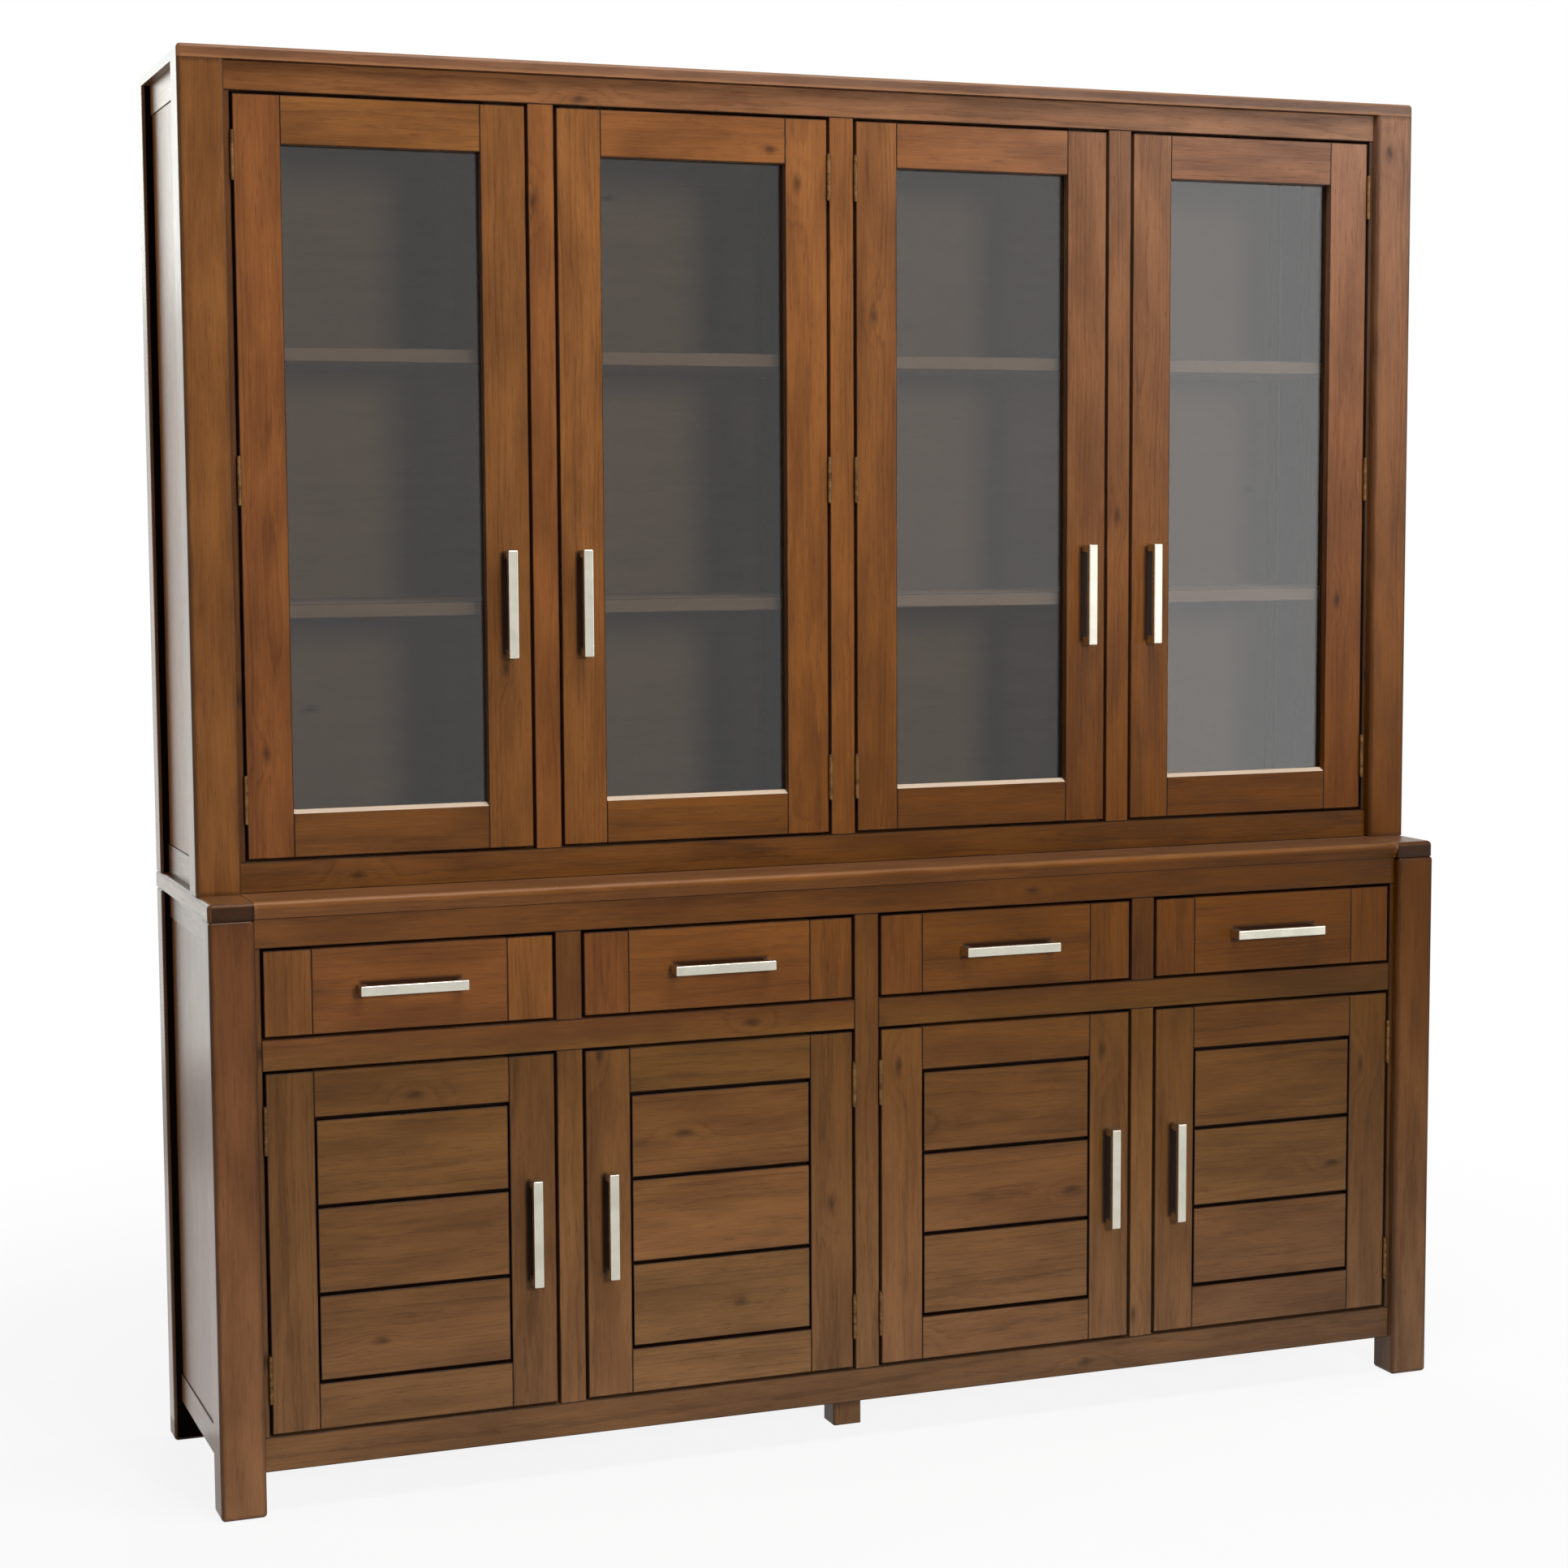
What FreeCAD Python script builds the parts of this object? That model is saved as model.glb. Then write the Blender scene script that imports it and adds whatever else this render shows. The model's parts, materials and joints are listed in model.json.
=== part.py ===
import FreeCAD, Part
import os
import re

# Dresser with hutch.  +Z is up, the front faces -Y and the origin is on the
# floor under the middle of the whole piece.  All sizes are in millimetres.
SIZES = (
    ("overall_width", 1920, "over the outer faces of the posts"),
    ("overall_height", 2000, "floor to the top of the hutch"),
    ("overall_depth", 430, "front of the base posts to the back"),
    ("base_height", 852, "floor to the top of the base"),
    ("hutch_setback", 88, "front of the hutch behind the front of the base"),
    ("post_width", 63, "posts seen from the front"),
    ("front_post_depth", 56, "front posts seen from the side"),
    ("rear_post_depth", 45, "rear posts seen from the side"),
    ("post_proud", 12, "front posts in front of the face frame"),
    ("post_round", 6, "eased edges of the posts"),
    ("side_recess", 12, "side frames inside the outer faces of the posts"),
    ("side_rail_height", 42, "rails of the side frames"),
    ("side_rail_thickness", 20, "rails of the side frames"),
    ("side_panel_thickness", 8, "panels of the side frames"),
    ("side_panel_setback", 2, "side panels behind the side rails"),
    ("frame_thickness", 22, "rails and mullions of the face frame"),
    ("end_stile_width", 8, "strip between a post and the first opening"),
    ("mullion_width", 38, "uprights between the openings"),
    ("leg_clearance", 60, "floor to the underside of the base"),
    ("base_bottom_rail", 48, "height of the rail under the cupboard doors"),
    ("middle_rail", 43, "height of the rail between doors and drawers"),
    ("drawer_opening", 126, "height of the drawer openings"),
    ("base_top_rail", 41, "height of the rail over the drawers"),
    ("base_top_thickness", 24, "top of the base"),
    ("base_top_setback", 2, "front of the base top behind the posts"),
    ("base_top_round", 7, "eased edges of the base top"),
    ("base_top_flat", 2, "upright part of the front edge of the base top"),
    ("base_top_lip", 1, "underside of the base top in front of its rail"),
    ("hutch_bottom_rail", 43, "height of the rail under the glazed doors"),
    ("hutch_top_rail", 40, "height of the rail over the glazed doors"),
    ("hutch_top_thickness", 18, "top of the hutch"),
    ("hutch_top_round", 6, "eased edges of the hutch top"),
    ("back_thickness", 6, "back panels"),
    ("back_inset", 10, "back panels in front of the back of the posts"),
    ("board_thickness", 18, "bottoms, partitions and dividers"),
    ("shelf_thickness", 20, "shelves"),
    ("shelf_setback", 20, "shelves behind the face frame"),
    ("shelf_play", 0.5, "clearance round a shelf"),
    ("hutch_shelf_rise", 333, "hutch floor to the underside of the first shelf"),
    ("hutch_shelf_pitch", 355, "first shelf to the second"),
    ("base_shelf_rise", 240, "base floor to the underside of its shelf"),
    ("shelf_pin_radius", 2.5, "shelf pins"),
    ("shelf_pin_fit", 0.05, "radial clearance of a shelf pin in its hole"),
    ("shelf_pin_depth", 9, "part of a shelf pin inside the wood"),
    ("shelf_pin_reach", 8, "part of a shelf pin under the shelf"),
    ("shelf_pin_inset", 14, "shelf pins from the inner edges of the posts"),
    ("foot_width", 45, "centre foot, square"),
    ("foot_setback", 100, "middle of the centre foot behind the face frame"),
    ("door_thickness", 22, "doors and drawer fronts"),
    ("leaf_thickness", 1.8, "hinge leaves"),
    ("leaf_play", 0.4, "between the two leaves of a closed hinge"),
    ("leaf_depth", 18, "hinge leaves from front to back"),
    ("leaf_setback", 0.4, "hinge leaves behind the face of the door"),
    ("hinge_height", 64, "hinge knuckles, all three together"),
    ("knuckle_radius", 3, "hinge knuckles"),
    ("knuckle_play", 0.4, "between two knuckles"),
    ("hinge_pin_radius", 1.55, "hinge pins"),
    ("hinge_pin_fit", 0.05, "radial clearance of a hinge pin"),
    ("hinge_pin_head", 2.4, "radius of the heads of a hinge pin"),
    ("hinge_pin_cap", 1.5, "height of the heads of a hinge pin"),
    ("glazed_hinge_inset", 82.5, "end of a glazed door to the middle of a hinge"),
    ("panel_hinge_inset", 77.5, "end of a cupboard door to the middle of a hinge"),
    ("glazed_stile", 64.5, "stiles of the glazed doors"),
    ("glazed_rail", 65.5, "rails of the glazed doors"),
    ("glass_setback", 13, "glass behind the front of its door"),
    ("glass_thickness", 4, "glass"),
    ("glass_play", 0.5, "clearance round the edge of the glass"),
    ("rabbet_width", 10, "rabbet for the glass, and the beads in it"),
    ("sill_drop", 5, "fall of the sloping sill in front of the glass"),
    ("sill_flat", 1, "level part of that sill, at the glass"),
    ("panel_stile", 66, "stiles of the cupboard doors, ends of the drawer fronts"),
    ("panel_rail", 64, "rails of the cupboard doors"),
    ("plank_groove", 5, "grooves beside the planks"),
    ("stile_groove", 2.5, "grooves at the ends of the planks"),
    ("plank_thickness", 16, "planks of the cupboard doors"),
    ("handle_length", 152, "pulls, end to end"),
    ("handle_width", 14, "pulls"),
    ("handle_reach", 28, "front of a pull in front of the door"),
    ("handle_bar", 9, "thickness of the bar of a pull"),
    ("handle_leg", 12, "legs of a pull, along its length"),
    ("handle_round", 1.5, "eased edges of a pull"),
    ("glazed_handle_rise", 345.5, "bottom of a glazed door to the middle of its pull"),
    ("screw_radius", 2, "shanks of the pull screws"),
    ("screw_fit", 0.05, "radial clearance of a screw in the pull"),
    ("screw_passage", 0.3, "radial clearance of a screw in the wood"),
    ("screw_grip", 8, "length of a screw inside the pull"),
    ("screw_head_radius", 4, "heads of the pull screws"),
    ("screw_head_height", 2.5, "heads of the pull screws"),
    ("catch_width", 40, "magnetic catches"),
    ("catch_height", 16, "catch behind its rail"),
    ("catch_depth", 16, "catch behind the face frame"),
    ("catch_drop", 12, "nose of a catch below its rail"),
    ("catch_play", 0.2, "between a catch and its strike plate"),
    ("strike_thickness", 1, "strike plates on the doors"),
    ("strike_height", 14, "strike plates on the doors"),
    ("drawer_side_play", 4, "drawer box inside its opening, each side"),
    ("drawer_lift", 6, "drawer box above the bottom of its opening"),
    ("drawer_drop", 10, "drawer box below the top of its opening"),
    ("drawer_length", 340, "drawer box from front to back"),
    ("drawer_side", 16, "sides of the drawer box"),
    ("drawer_back", 12, "back of the drawer box"),
    ("drawer_bottom", 6, "bottom of the drawer box"),
    ("drawer_bottom_rise", 8, "bottom above the lower edge of the sides"),
    ("runner_height", 20, "drawer runners"),
    ("runner_depth", 8, "groove for the runner in a drawer side"),
    ("runner_play", 0.3, "clearance of a runner in its groove"),
    ("runner_gap", 3, "front end of a runner behind the drawer front"),
    ("runner_overlap", 20, "runner on the inner face of a rear post"),
)

# Places worked out from the sizes, so that pieces that meet share them.
PLACES = {
    "half_width": "overall_width / 2",
    "post_inner": "half_width - post_width",
    "opening_edge": "post_inner - end_stile_width",
    "opening_width": "(2 * opening_edge - 3 * mullion_width) / 4",
    "bay_pitch": "opening_width + mullion_width",
    "side_outer": "half_width - side_recess",
    "side_inner": "side_outer - side_rail_thickness",
    "panel_outer": "side_outer - side_panel_setback",
    "panel_inner": "panel_outer - side_panel_thickness",
    "post_front": "(handle_reach - post_proud - overall_depth) / 2",
    "back_face": "post_front + overall_depth",
    "base_face": "post_front + post_proud",
    "hutch_front": "post_front + hutch_setback",
    "hutch_face": "base_face + hutch_setback",
    "rear_post_front": "back_face - rear_post_depth",
    "panel_back": "back_face - back_inset",
    "panel_front": "panel_back - back_thickness",
    "base_under_top": "base_height - base_top_thickness",
    "drawer_high": "base_under_top - base_top_rail",
    "drawer_low": "drawer_high - drawer_opening",
    "door_high": "drawer_low - middle_rail",
    "door_low": "leg_clearance + base_bottom_rail",
    "hutch_under_top": "overall_height - hutch_top_thickness",
    "glazed_high": "hutch_under_top - hutch_top_rail",
    "glazed_low": "base_height + hutch_bottom_rail",
    "door_gap": "2 * leaf_thickness + leaf_play",
    "top_slope_height": "base_top_thickness - base_top_round - base_top_flat",
    "top_slope_depth": "post_proud - base_top_setback - base_top_lip",
    "screw_pitch": "handle_length - handle_leg",
    "half_board": "board_thickness / 2",
    "knuckle_length": "(hinge_height - 2 * knuckle_play) / 3",
    "runner_front": "base_face + max(frame_thickness; door_thickness) + runner_gap",
    "runner_middle": "(drawer_low + drawer_lift + drawer_high - drawer_drop) / 2",
    "pin_axis_drop": "shelf_pin_radius",
}

FUNCTIONS = ("max", "min")
BAYS = range(4)

doc = FreeCAD.newDocument("dresser_with_hutch")
dims = doc.addObject("Spreadsheet::Sheet", "dims")
for row, (alias, value, note) in enumerate(SIZES, start=1):
    dims.set(f"A{row}", alias)
    dims.set(f"B{row}", str(value))
    dims.set(f"C{row}", note)
    dims.setAlias(f"B{row}", alias)
doc.recompute()


def formula(text):
    """Turn named sizes and places into an expression on the spreadsheet."""
    def cell(match):
        word = match.group(0)
        if word in FUNCTIONS:
            return word
        if word in PLACES:
            return "(" + formula(PLACES[word]) + ")"
        return "dims." + word
    return re.sub(r"[a-z][a-z_]+", cell, text)


def bind(item, **places):
    """Bind an object's sizes to named sizes."""
    for name, text in places.items():
        item.setExpression(name, formula(text))


def put(item, x, y, z):
    """Bind an object's position to named sizes."""
    for axis, text in zip("xyz", (x, y, z)):
        item.setExpression(f"Placement.Base.{axis}", formula(text))


def span(limits):
    """Length between two limits."""
    low, high = limits
    return f"({high}) - ({low})"


def mirror(limits):
    """The same limits on the other side of the middle."""
    low, high = limits
    return f"-({high})", f"-({low})"


def on_side(side, limits):
    """Limits on the right, side 1, or mirrored to the left, side -1."""
    return limits if side > 0 else mirror(limits)


def board(name, x, y, z):
    """Plain board between two limits along each axis."""
    item = doc.addObject("Part::Box", name)
    bind(item, Length=span(x), Width=span(y), Height=span(z))
    put(item, x[0], y[0], z[0])
    return item


def edges_between(shape, pairs):
    """Names of the edges of a box that lie on two of its named faces."""
    box = shape.BoundBox
    names = []
    for number, edge in enumerate(shape.Edges, start=1):
        part = edge.BoundBox
        on_face = {
            "left": part.XMax - box.XMin < 1e-6,
            "right": box.XMax - part.XMin < 1e-6,
            "front": part.YMax - box.YMin < 1e-6,
            "back": box.YMax - part.YMin < 1e-6,
            "bottom": part.ZMax - box.ZMin < 1e-6,
            "top": box.ZMax - part.ZMin < 1e-6,
        }
        if any(on_face[first] and on_face[second] for first, second in pairs):
            names.append(f"Edge{number}")
    return names


def eased_board(name, x, y, z, radius, pairs=None):
    """Board with rounded edges: all of them, or those between pairs of faces."""
    body = doc.addObject("PartDesign::Body", name)
    block = body.newObject("PartDesign::AdditiveBox", name + "_block")
    bind(block, Length=span(x), Width=span(y), Height=span(z))
    doc.recompute()
    fillet = body.newObject("PartDesign::Fillet", name + "_round")
    if pairs is None:
        fillet.Base = (block, ["Edge1"])
        fillet.UseAllEdges = True
    else:
        fillet.Base = (block, edges_between(block.Shape, pairs))
    bind(fillet, Radius=radius)
    put(body, x[0], y[0], z[0])
    return body


def slope(body, base, name, faces, first, second, flip):
    """Cut the edge between two faces of a body to a slope, with a size on each face."""
    doc.recompute()
    chamfer = body.newObject("PartDesign::Chamfer", name)
    chamfer.Base = (base, edges_between(base.Shape, [faces]))
    chamfer.ChamferType = "Two distances"
    chamfer.FlipDirection = flip
    bind(chamfer, Size=first, Size2=second)
    return chamfer


TURNS = {
    "x": FreeCAD.Rotation(FreeCAD.Vector(0, 1, 0), 90),
    "y": FreeCAD.Rotation(FreeCAD.Vector(1, 0, 0), -90),
    "z": FreeCAD.Rotation(),
}


def rod(name, axis, radius, length, x, y, z):
    """Cylinder that starts at a point and runs along +X, +Y or +Z."""
    item = doc.addObject("Part::Cylinder", name)
    item.Placement = FreeCAD.Placement(FreeCAD.Vector(), TURNS[axis])
    bind(item, Radius=radius, Height=length)
    put(item, x, y, z)
    return item


def together(name, pieces):
    """Separate solids kept side by side."""
    group = doc.addObject("Part::Compound", name)
    group.Links = pieces
    return group


def joined(name, pieces):
    """Pieces made as one solid."""
    whole = doc.addObject("Part::MultiFuse", name)
    whole.Shapes = pieces
    whole.Refine = True
    return whole


def cut(name, base, tools):
    """Take tools, which lie apart from each other, out of a piece."""
    result = doc.addObject("Part::Cut", name)
    result.Base = base
    result.Tool = tools[0] if len(tools) == 1 else together(name + "_tools", tools)
    return result


sub_parts = []


def sub_part(label, pieces):
    """Name the solids that make one sub-part of the assembly."""
    item = pieces[0] if len(pieces) == 1 else together(label + "_set", pieces)
    item.Label = label
    sub_parts.append(item)


def bay_middle(bay):
    return f"{bay - 1.5} * bay_pitch"


def from_edge(bay, side, distance):
    """Position at a distance from the left or right edge of a bay's opening."""
    sign = "+" if side < 0 else "-"
    edge = "-" if side < 0 else "+"
    return f"{bay_middle(bay)} {edge} opening_width / 2 {sign} ({distance})"


def in_bay(bay, side, near, far):
    """Limits between two distances from one edge of a bay's opening."""
    ends = from_edge(bay, side, near), from_edge(bay, side, far)
    return ends if side < 0 else ends[::-1]


def hinge_side(bay):
    """The doors of each pair meet in the middle: -1 hinged left, 1 right."""
    return -1 if bay % 2 == 0 else 1


# Shelf pins: each is a rod into a post or a partition, with its hole there.
shelf_pins = []
pin_holes = {}


def shelf_pin(owner, name, wall, inward, y, z):
    """Pin across a wall at x = wall, where inward is +1 towards +X."""
    start = {
        1: (f"{wall} - shelf_pin_depth", f"{wall} - shelf_pin_depth"),
        -1: (f"{wall} - shelf_pin_reach", wall),
    }[inward]
    height = f"({z}) - pin_axis_drop"
    pin = rod(name, "x", "shelf_pin_radius", "shelf_pin_depth + shelf_pin_reach", start[0], y, height)
    radius = "shelf_pin_radius + shelf_pin_fit"
    hole = rod(name + "_hole", "x", radius, "shelf_pin_depth", start[1], y, height)
    shelf_pins.append(pin)
    pin_holes.setdefault(owner, []).append(hole)


SHELVES = (
    ("hutch", "lower", "glazed_low + hutch_shelf_rise", "hutch_face"),
    ("hutch", "upper", "glazed_low + hutch_shelf_rise + hutch_shelf_pitch", "hutch_face"),
    ("base", "only", "door_low + base_shelf_rise", "base_face"),
)
shelves = []
for unit, level, under, face in SHELVES:
    front = "hutch_front" if unit == "hutch" else "post_front"
    for side in (-1, 1):
        hand = "left" if side < 0 else "right"
        name = f"{unit}_{level}_{hand}"
        x = on_side(side, ("half_board + shelf_play", "post_inner - shelf_play"))
        y = (f"{face} + frame_thickness + shelf_setback", "panel_front - shelf_play")
        shelves.append(board(name + "_shelf", x, y, (under, f"{under} + shelf_thickness")))
        rows = {
            "front": f"{front} + front_post_depth - shelf_pin_inset",
            "rear": "rear_post_front + shelf_pin_inset",
        }
        for row_name, depth in rows.items():
            post = f"{unit}_{row_name}_{hand}"
            post_wall = "post_inner" if side > 0 else "-(post_inner)"
            middle_wall = "half_board" if side > 0 else "-(half_board)"
            shelf_pin(post, f"{name}_{row_name}_post_pin", post_wall, -side, depth, under)
            partition = f"{unit}_partition_{hand}"
            shelf_pin(partition, f"{name}_{row_name}_middle_pin", middle_wall, side, depth, under)
sub_part("shelves", shelves)
sub_part("shelf_pins", shelf_pins)

# Posts of both units: those of the hutch keep square ends, where they meet the tops.
UPRIGHT_EDGES = (("front", "left"), ("front", "right"), ("back", "left"), ("back", "right"))
for unit, low, high, front, rounded in (
    ("base", "0", "base_under_top", "post_front", None),
    ("hutch", "base_height", "hutch_under_top", "hutch_front", UPRIGHT_EDGES),
):
    posts = []
    depths = {
        "front": (front, f"{front} + front_post_depth"),
        "rear": ("rear_post_front", "back_face"),
    }
    for row_name, depth in depths.items():
        for side, hand in ((-1, "left"), (1, "right")):
            name = f"{unit}_{row_name}_{hand}"
            x = on_side(side, ("post_inner", "half_width"))
            post = eased_board(name + "_block", x, depth, (low, high), "post_round", rounded)
            posts.append(cut(name + "_post", post, pin_holes[name]))
    sub_part(f"{unit}_posts", posts)

# Tops: the base has a centre board between two end boards, the hutch one board.
# The front of the centre board slopes back under its rounded upper edge.
top_depth = ("post_front + base_top_setback", "back_face")
top_height = ("base_under_top", "base_height")
full_width = ("-(post_inner)", "post_inner")
centre_top = eased_board(
    "base_top_centre", full_width, top_depth, top_height, "base_top_round", (("front", "top"),)
)
slope(
    centre_top,
    centre_top.Tip,
    "base_top_slope",
    ("front", "bottom"),
    "top_slope_height",
    "top_slope_depth",
    False,
)
end_tops = []
for side, hand in ((-1, "left"), (1, "right")):
    edges = (("front", "top"), (hand, "top"), (hand, "front"))
    x = on_side(side, ("post_inner", "half_width"))
    end_tops.append(eased_board(f"base_top_{hand}", x, top_depth, top_height, "base_top_round", edges))
sub_part("base_top", [centre_top] + end_tops)

edges = [("front", "top"), ("left", "top"), ("right", "top"), ("left", "front"), ("right", "front")]
hutch_top = eased_board(
    "hutch_top_board",
    ("-(half_width)", "half_width"),
    ("hutch_front", "back_face"),
    ("hutch_under_top", "overall_height"),
    "hutch_top_round",
    edges,
)
sub_part("hutch_top", [hutch_top])

# Face frame of the base.
frame_depth = ("base_face", "base_face + frame_thickness")
middle = ("-mullion_width / 2", "mullion_width / 2")
pieces = [
    board("base_rail_top", full_width, frame_depth, ("drawer_high", "base_under_top")),
    board("base_rail_bottom", full_width, frame_depth, ("leg_clearance", "door_low")),
    board("base_mullion_centre", middle, frame_depth, ("door_low", "drawer_high")),
]
for side, hand in ((-1, "left"), (1, "right")):
    x = on_side(side, ("mullion_width / 2", "opening_edge"))
    pieces.append(board(f"base_rail_middle_{hand}", x, frame_depth, ("door_high", "drawer_low")))
    x = on_side(side, ("opening_edge", "post_inner"))
    pieces.append(board(f"base_end_stile_{hand}", x, frame_depth, ("door_low", "drawer_high")))
    x = on_side(side, ("bay_pitch - mullion_width / 2", "bay_pitch + mullion_width / 2"))
    pieces.append(board(f"base_mullion_door_{hand}", x, frame_depth, ("door_low", "door_high")))
    pieces.append(board(f"base_mullion_drawer_{hand}", x, frame_depth, ("drawer_low", "drawer_high")))
sub_part("base_front_frame", pieces)

# Face frame of the hutch.
frame_depth = ("hutch_face", "hutch_face + frame_thickness")
pieces = [
    board("hutch_rail_top", full_width, frame_depth, ("glazed_high", "hutch_under_top")),
    board("hutch_rail_bottom", full_width, frame_depth, ("base_height", "glazed_low")),
]
for number, place in enumerate(("-(bay_pitch)", "0", "bay_pitch"), start=1):
    x = (f"{place} - mullion_width / 2", f"{place} + mullion_width / 2")
    pieces.append(board(f"hutch_mullion_{number}", x, frame_depth, ("glazed_low", "glazed_high")))
for side, hand in ((-1, "left"), (1, "right")):
    x = on_side(side, ("opening_edge", "post_inner"))
    pieces.append(board(f"hutch_end_stile_{hand}", x, frame_depth, ("glazed_low", "glazed_high")))
sub_part("hutch_front_frame", pieces)

# Side frames: a panel between two rails, between the posts.
for unit, low, high, front in (
    ("base", "leg_clearance", "base_under_top", "post_front"),
    ("hutch", "base_height", "hutch_under_top", "hutch_front"),
):
    pieces = []
    depth = (f"{front} + front_post_depth", "rear_post_front")
    for side, hand in ((-1, "left"), (1, "right")):
        rail = on_side(side, ("side_inner", "side_outer"))
        panel = on_side(side, ("panel_inner", "panel_outer"))
        low_top = f"{low} + side_rail_height"
        high_foot = f"{high} - side_rail_height"
        pieces.append(board(f"{unit}_side_rail_low_{hand}", rail, depth, (low, low_top)))
        pieces.append(board(f"{unit}_side_rail_high_{hand}", rail, depth, (high_foot, high)))
        pieces.append(board(f"{unit}_side_panel_{hand}", panel, depth, (low_top, high_foot)))
    sub_part(f"{unit}_side_frames", pieces)

# Back panels between the rear posts.
back_depth = ("panel_front", "panel_back")
base_back = board("base_back", full_width, back_depth, ("leg_clearance", "base_under_top"))
hutch_back = board("hutch_back", full_width, back_depth, ("base_height", "hutch_under_top"))
sub_part("back_panels", [base_back, hutch_back])

# Bottoms: a wide board between the posts and a strip beside it at each side.
pieces = []
for unit, top, face, front in (
    ("base", "door_low", "base_face", "post_front"),
    ("hutch", "glazed_low", "hutch_face", "hutch_front"),
):
    height = (f"{top} - board_thickness", top)
    depth = (f"{face} + frame_thickness", "panel_front")
    pieces.append(board(f"{unit}_bottom", full_width, depth, height))
    for side, hand in ((-1, "left"), (1, "right")):
        x = on_side(side, ("post_inner", "side_inner"))
        strip = (f"{front} + front_post_depth", "rear_post_front")
        pieces.append(board(f"{unit}_bottom_strip_{hand}", x, strip, height))
sub_part("bottom_boards", pieces)

# Upright boards inside: a partition in each unit and two drawer dividers.
middle = ("-(half_board)", "half_board")
depth = ("base_face + frame_thickness", "panel_front")
partition = board("base_partition_board", middle, depth, ("door_low", "base_under_top"))
holes = pin_holes["base_partition_left"] + pin_holes["base_partition_right"]
pieces = [cut("base_partition", partition, [joined("base_partition_holes", holes)])]
for side, hand in ((-1, "left"), (1, "right")):
    x = on_side(side, ("bay_pitch - half_board", "bay_pitch + half_board"))
    pieces.append(board(f"drawer_divider_{hand}", x, depth, ("door_high", "base_under_top")))
sub_part("base_partitions", pieces)

depth = ("hutch_face + frame_thickness", "panel_front")
partition = board("hutch_partition_board", middle, depth, ("glazed_low", "hutch_under_top"))
holes = pin_holes["hutch_partition_left"] + pin_holes["hutch_partition_right"]
sub_part("hutch_partition", [cut("hutch_partition", partition, [joined("hutch_partition_holes", holes)])])

# Centre foot under the bottom of the base.
foot = eased_board(
    "centre_foot",
    ("-foot_width / 2", "foot_width / 2"),
    ("base_face + foot_setback - foot_width / 2", "base_face + foot_setback + foot_width / 2"),
    ("0", "door_low - board_thickness"),
    "post_round",
    (("left", "front"), ("right", "front"), ("left", "back"), ("right", "back")),
)
sub_part("centre_foot", [foot])

# Drawer runners: strips on the dividers and posts, in the grooves of the boxes.
runners = []
for bay in BAYS:
    for side, hand in ((-1, "left"), (1, "right")):
        groove_end = from_edge(bay, side, "drawer_side_play + runner_depth - runner_play")
        if bay + (side > 0) == 0:
            wall = "-(post_inner)"
        elif bay + (side > 0) == 4:
            wall = "post_inner"
        else:
            sign = "+" if side < 0 else "-"
            wall = f"{bay - 2 + (side > 0)} * bay_pitch {sign} half_board"
        x = (wall, groove_end) if side < 0 else (groove_end, wall)
        y = ("runner_front", "rear_post_front + runner_overlap")
        if wall not in ("-(post_inner)", "post_inner"):
            y = ("runner_front", "panel_front")
        z = ("runner_middle - runner_height / 2", "runner_middle + runner_height / 2")
        runners.append(board(f"runner_{bay + 1}_{hand}", x, y, z))
sub_part("drawer_runners", runners)


def handle(name, x, y, z, upright):
    """U-shaped pull with its feet on the door at y, with two screws."""
    body = doc.addObject("PartDesign::Body", name + "_pull")
    block = body.newObject("PartDesign::AdditiveBox", name + "_block")
    bind(block, Length="handle_width", Width="handle_reach", Height="handle_length")
    put(block, "-handle_width / 2", "-handle_reach", "-handle_length / 2")
    gap = body.newObject("PartDesign::SubtractiveBox", name + "_gap")
    bind(
        gap,
        Length="2 * handle_width",
        Width="handle_reach",
        Height="handle_length - 2 * handle_leg",
    )
    put(gap, "-handle_width", "-handle_reach + handle_bar", "-handle_length / 2 + handle_leg")
    doc.recompute()
    fillet = body.newObject("PartDesign::Fillet", name + "_round")
    fillet.Base = (gap, ["Edge1"])
    fillet.UseAllEdges = True
    bind(fillet, Radius="handle_round")
    for end, sign in (("a", "-"), ("b", "")):
        hole = body.newObject("PartDesign::SubtractiveCylinder", f"{name}_hole_{end}")
        hole.Placement = FreeCAD.Placement(FreeCAD.Vector(), TURNS["y"])
        bind(hole, Radius="screw_radius + screw_fit", Height="2 * screw_grip")
        put(hole, "0", "-screw_grip", f"{sign}screw_pitch / 2")
    if not upright:
        turn = FreeCAD.Rotation(FreeCAD.Vector(0, 1, 0), 90)
        body.Placement = FreeCAD.Placement(FreeCAD.Vector(), turn)
    put(body, x, y, z)
    solids = [body]
    for end, (across, rise) in screw_places(x, z, upright).items():
        shank = rod(
            f"{name}_shank_{end}",
            "y",
            "screw_radius",
            "screw_grip + door_thickness + screw_head_height",
            across,
            f"{y} - screw_grip",
            rise,
        )
        head = rod(
            f"{name}_head_{end}",
            "y",
            "screw_head_radius",
            "screw_head_height",
            across,
            f"{y} + door_thickness",
            rise,
        )
        solids.append(joined(f"{name}_screw_{end}", [shank, head]))
    return solids


def screw_places(x, z, upright):
    """Where the two screws of a pull stand."""
    if upright:
        return {"a": (x, f"{z} - screw_pitch / 2"), "b": (x, f"{z} + screw_pitch / 2")}
    return {"a": (f"{x} - screw_pitch / 2", z), "b": (f"{x} + screw_pitch / 2", z)}


def screw_holes(name, x, y, z, upright):
    """Holes through the wood for the two screws of a pull."""
    return [
        rod(f"{name}_passage_{end}", "y", "screw_radius + screw_passage", "door_thickness", across, y, rise)
        for end, (across, rise) in screw_places(x, z, upright).items()
    ]


frame_leaves = []
hinge_pins = []


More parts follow.
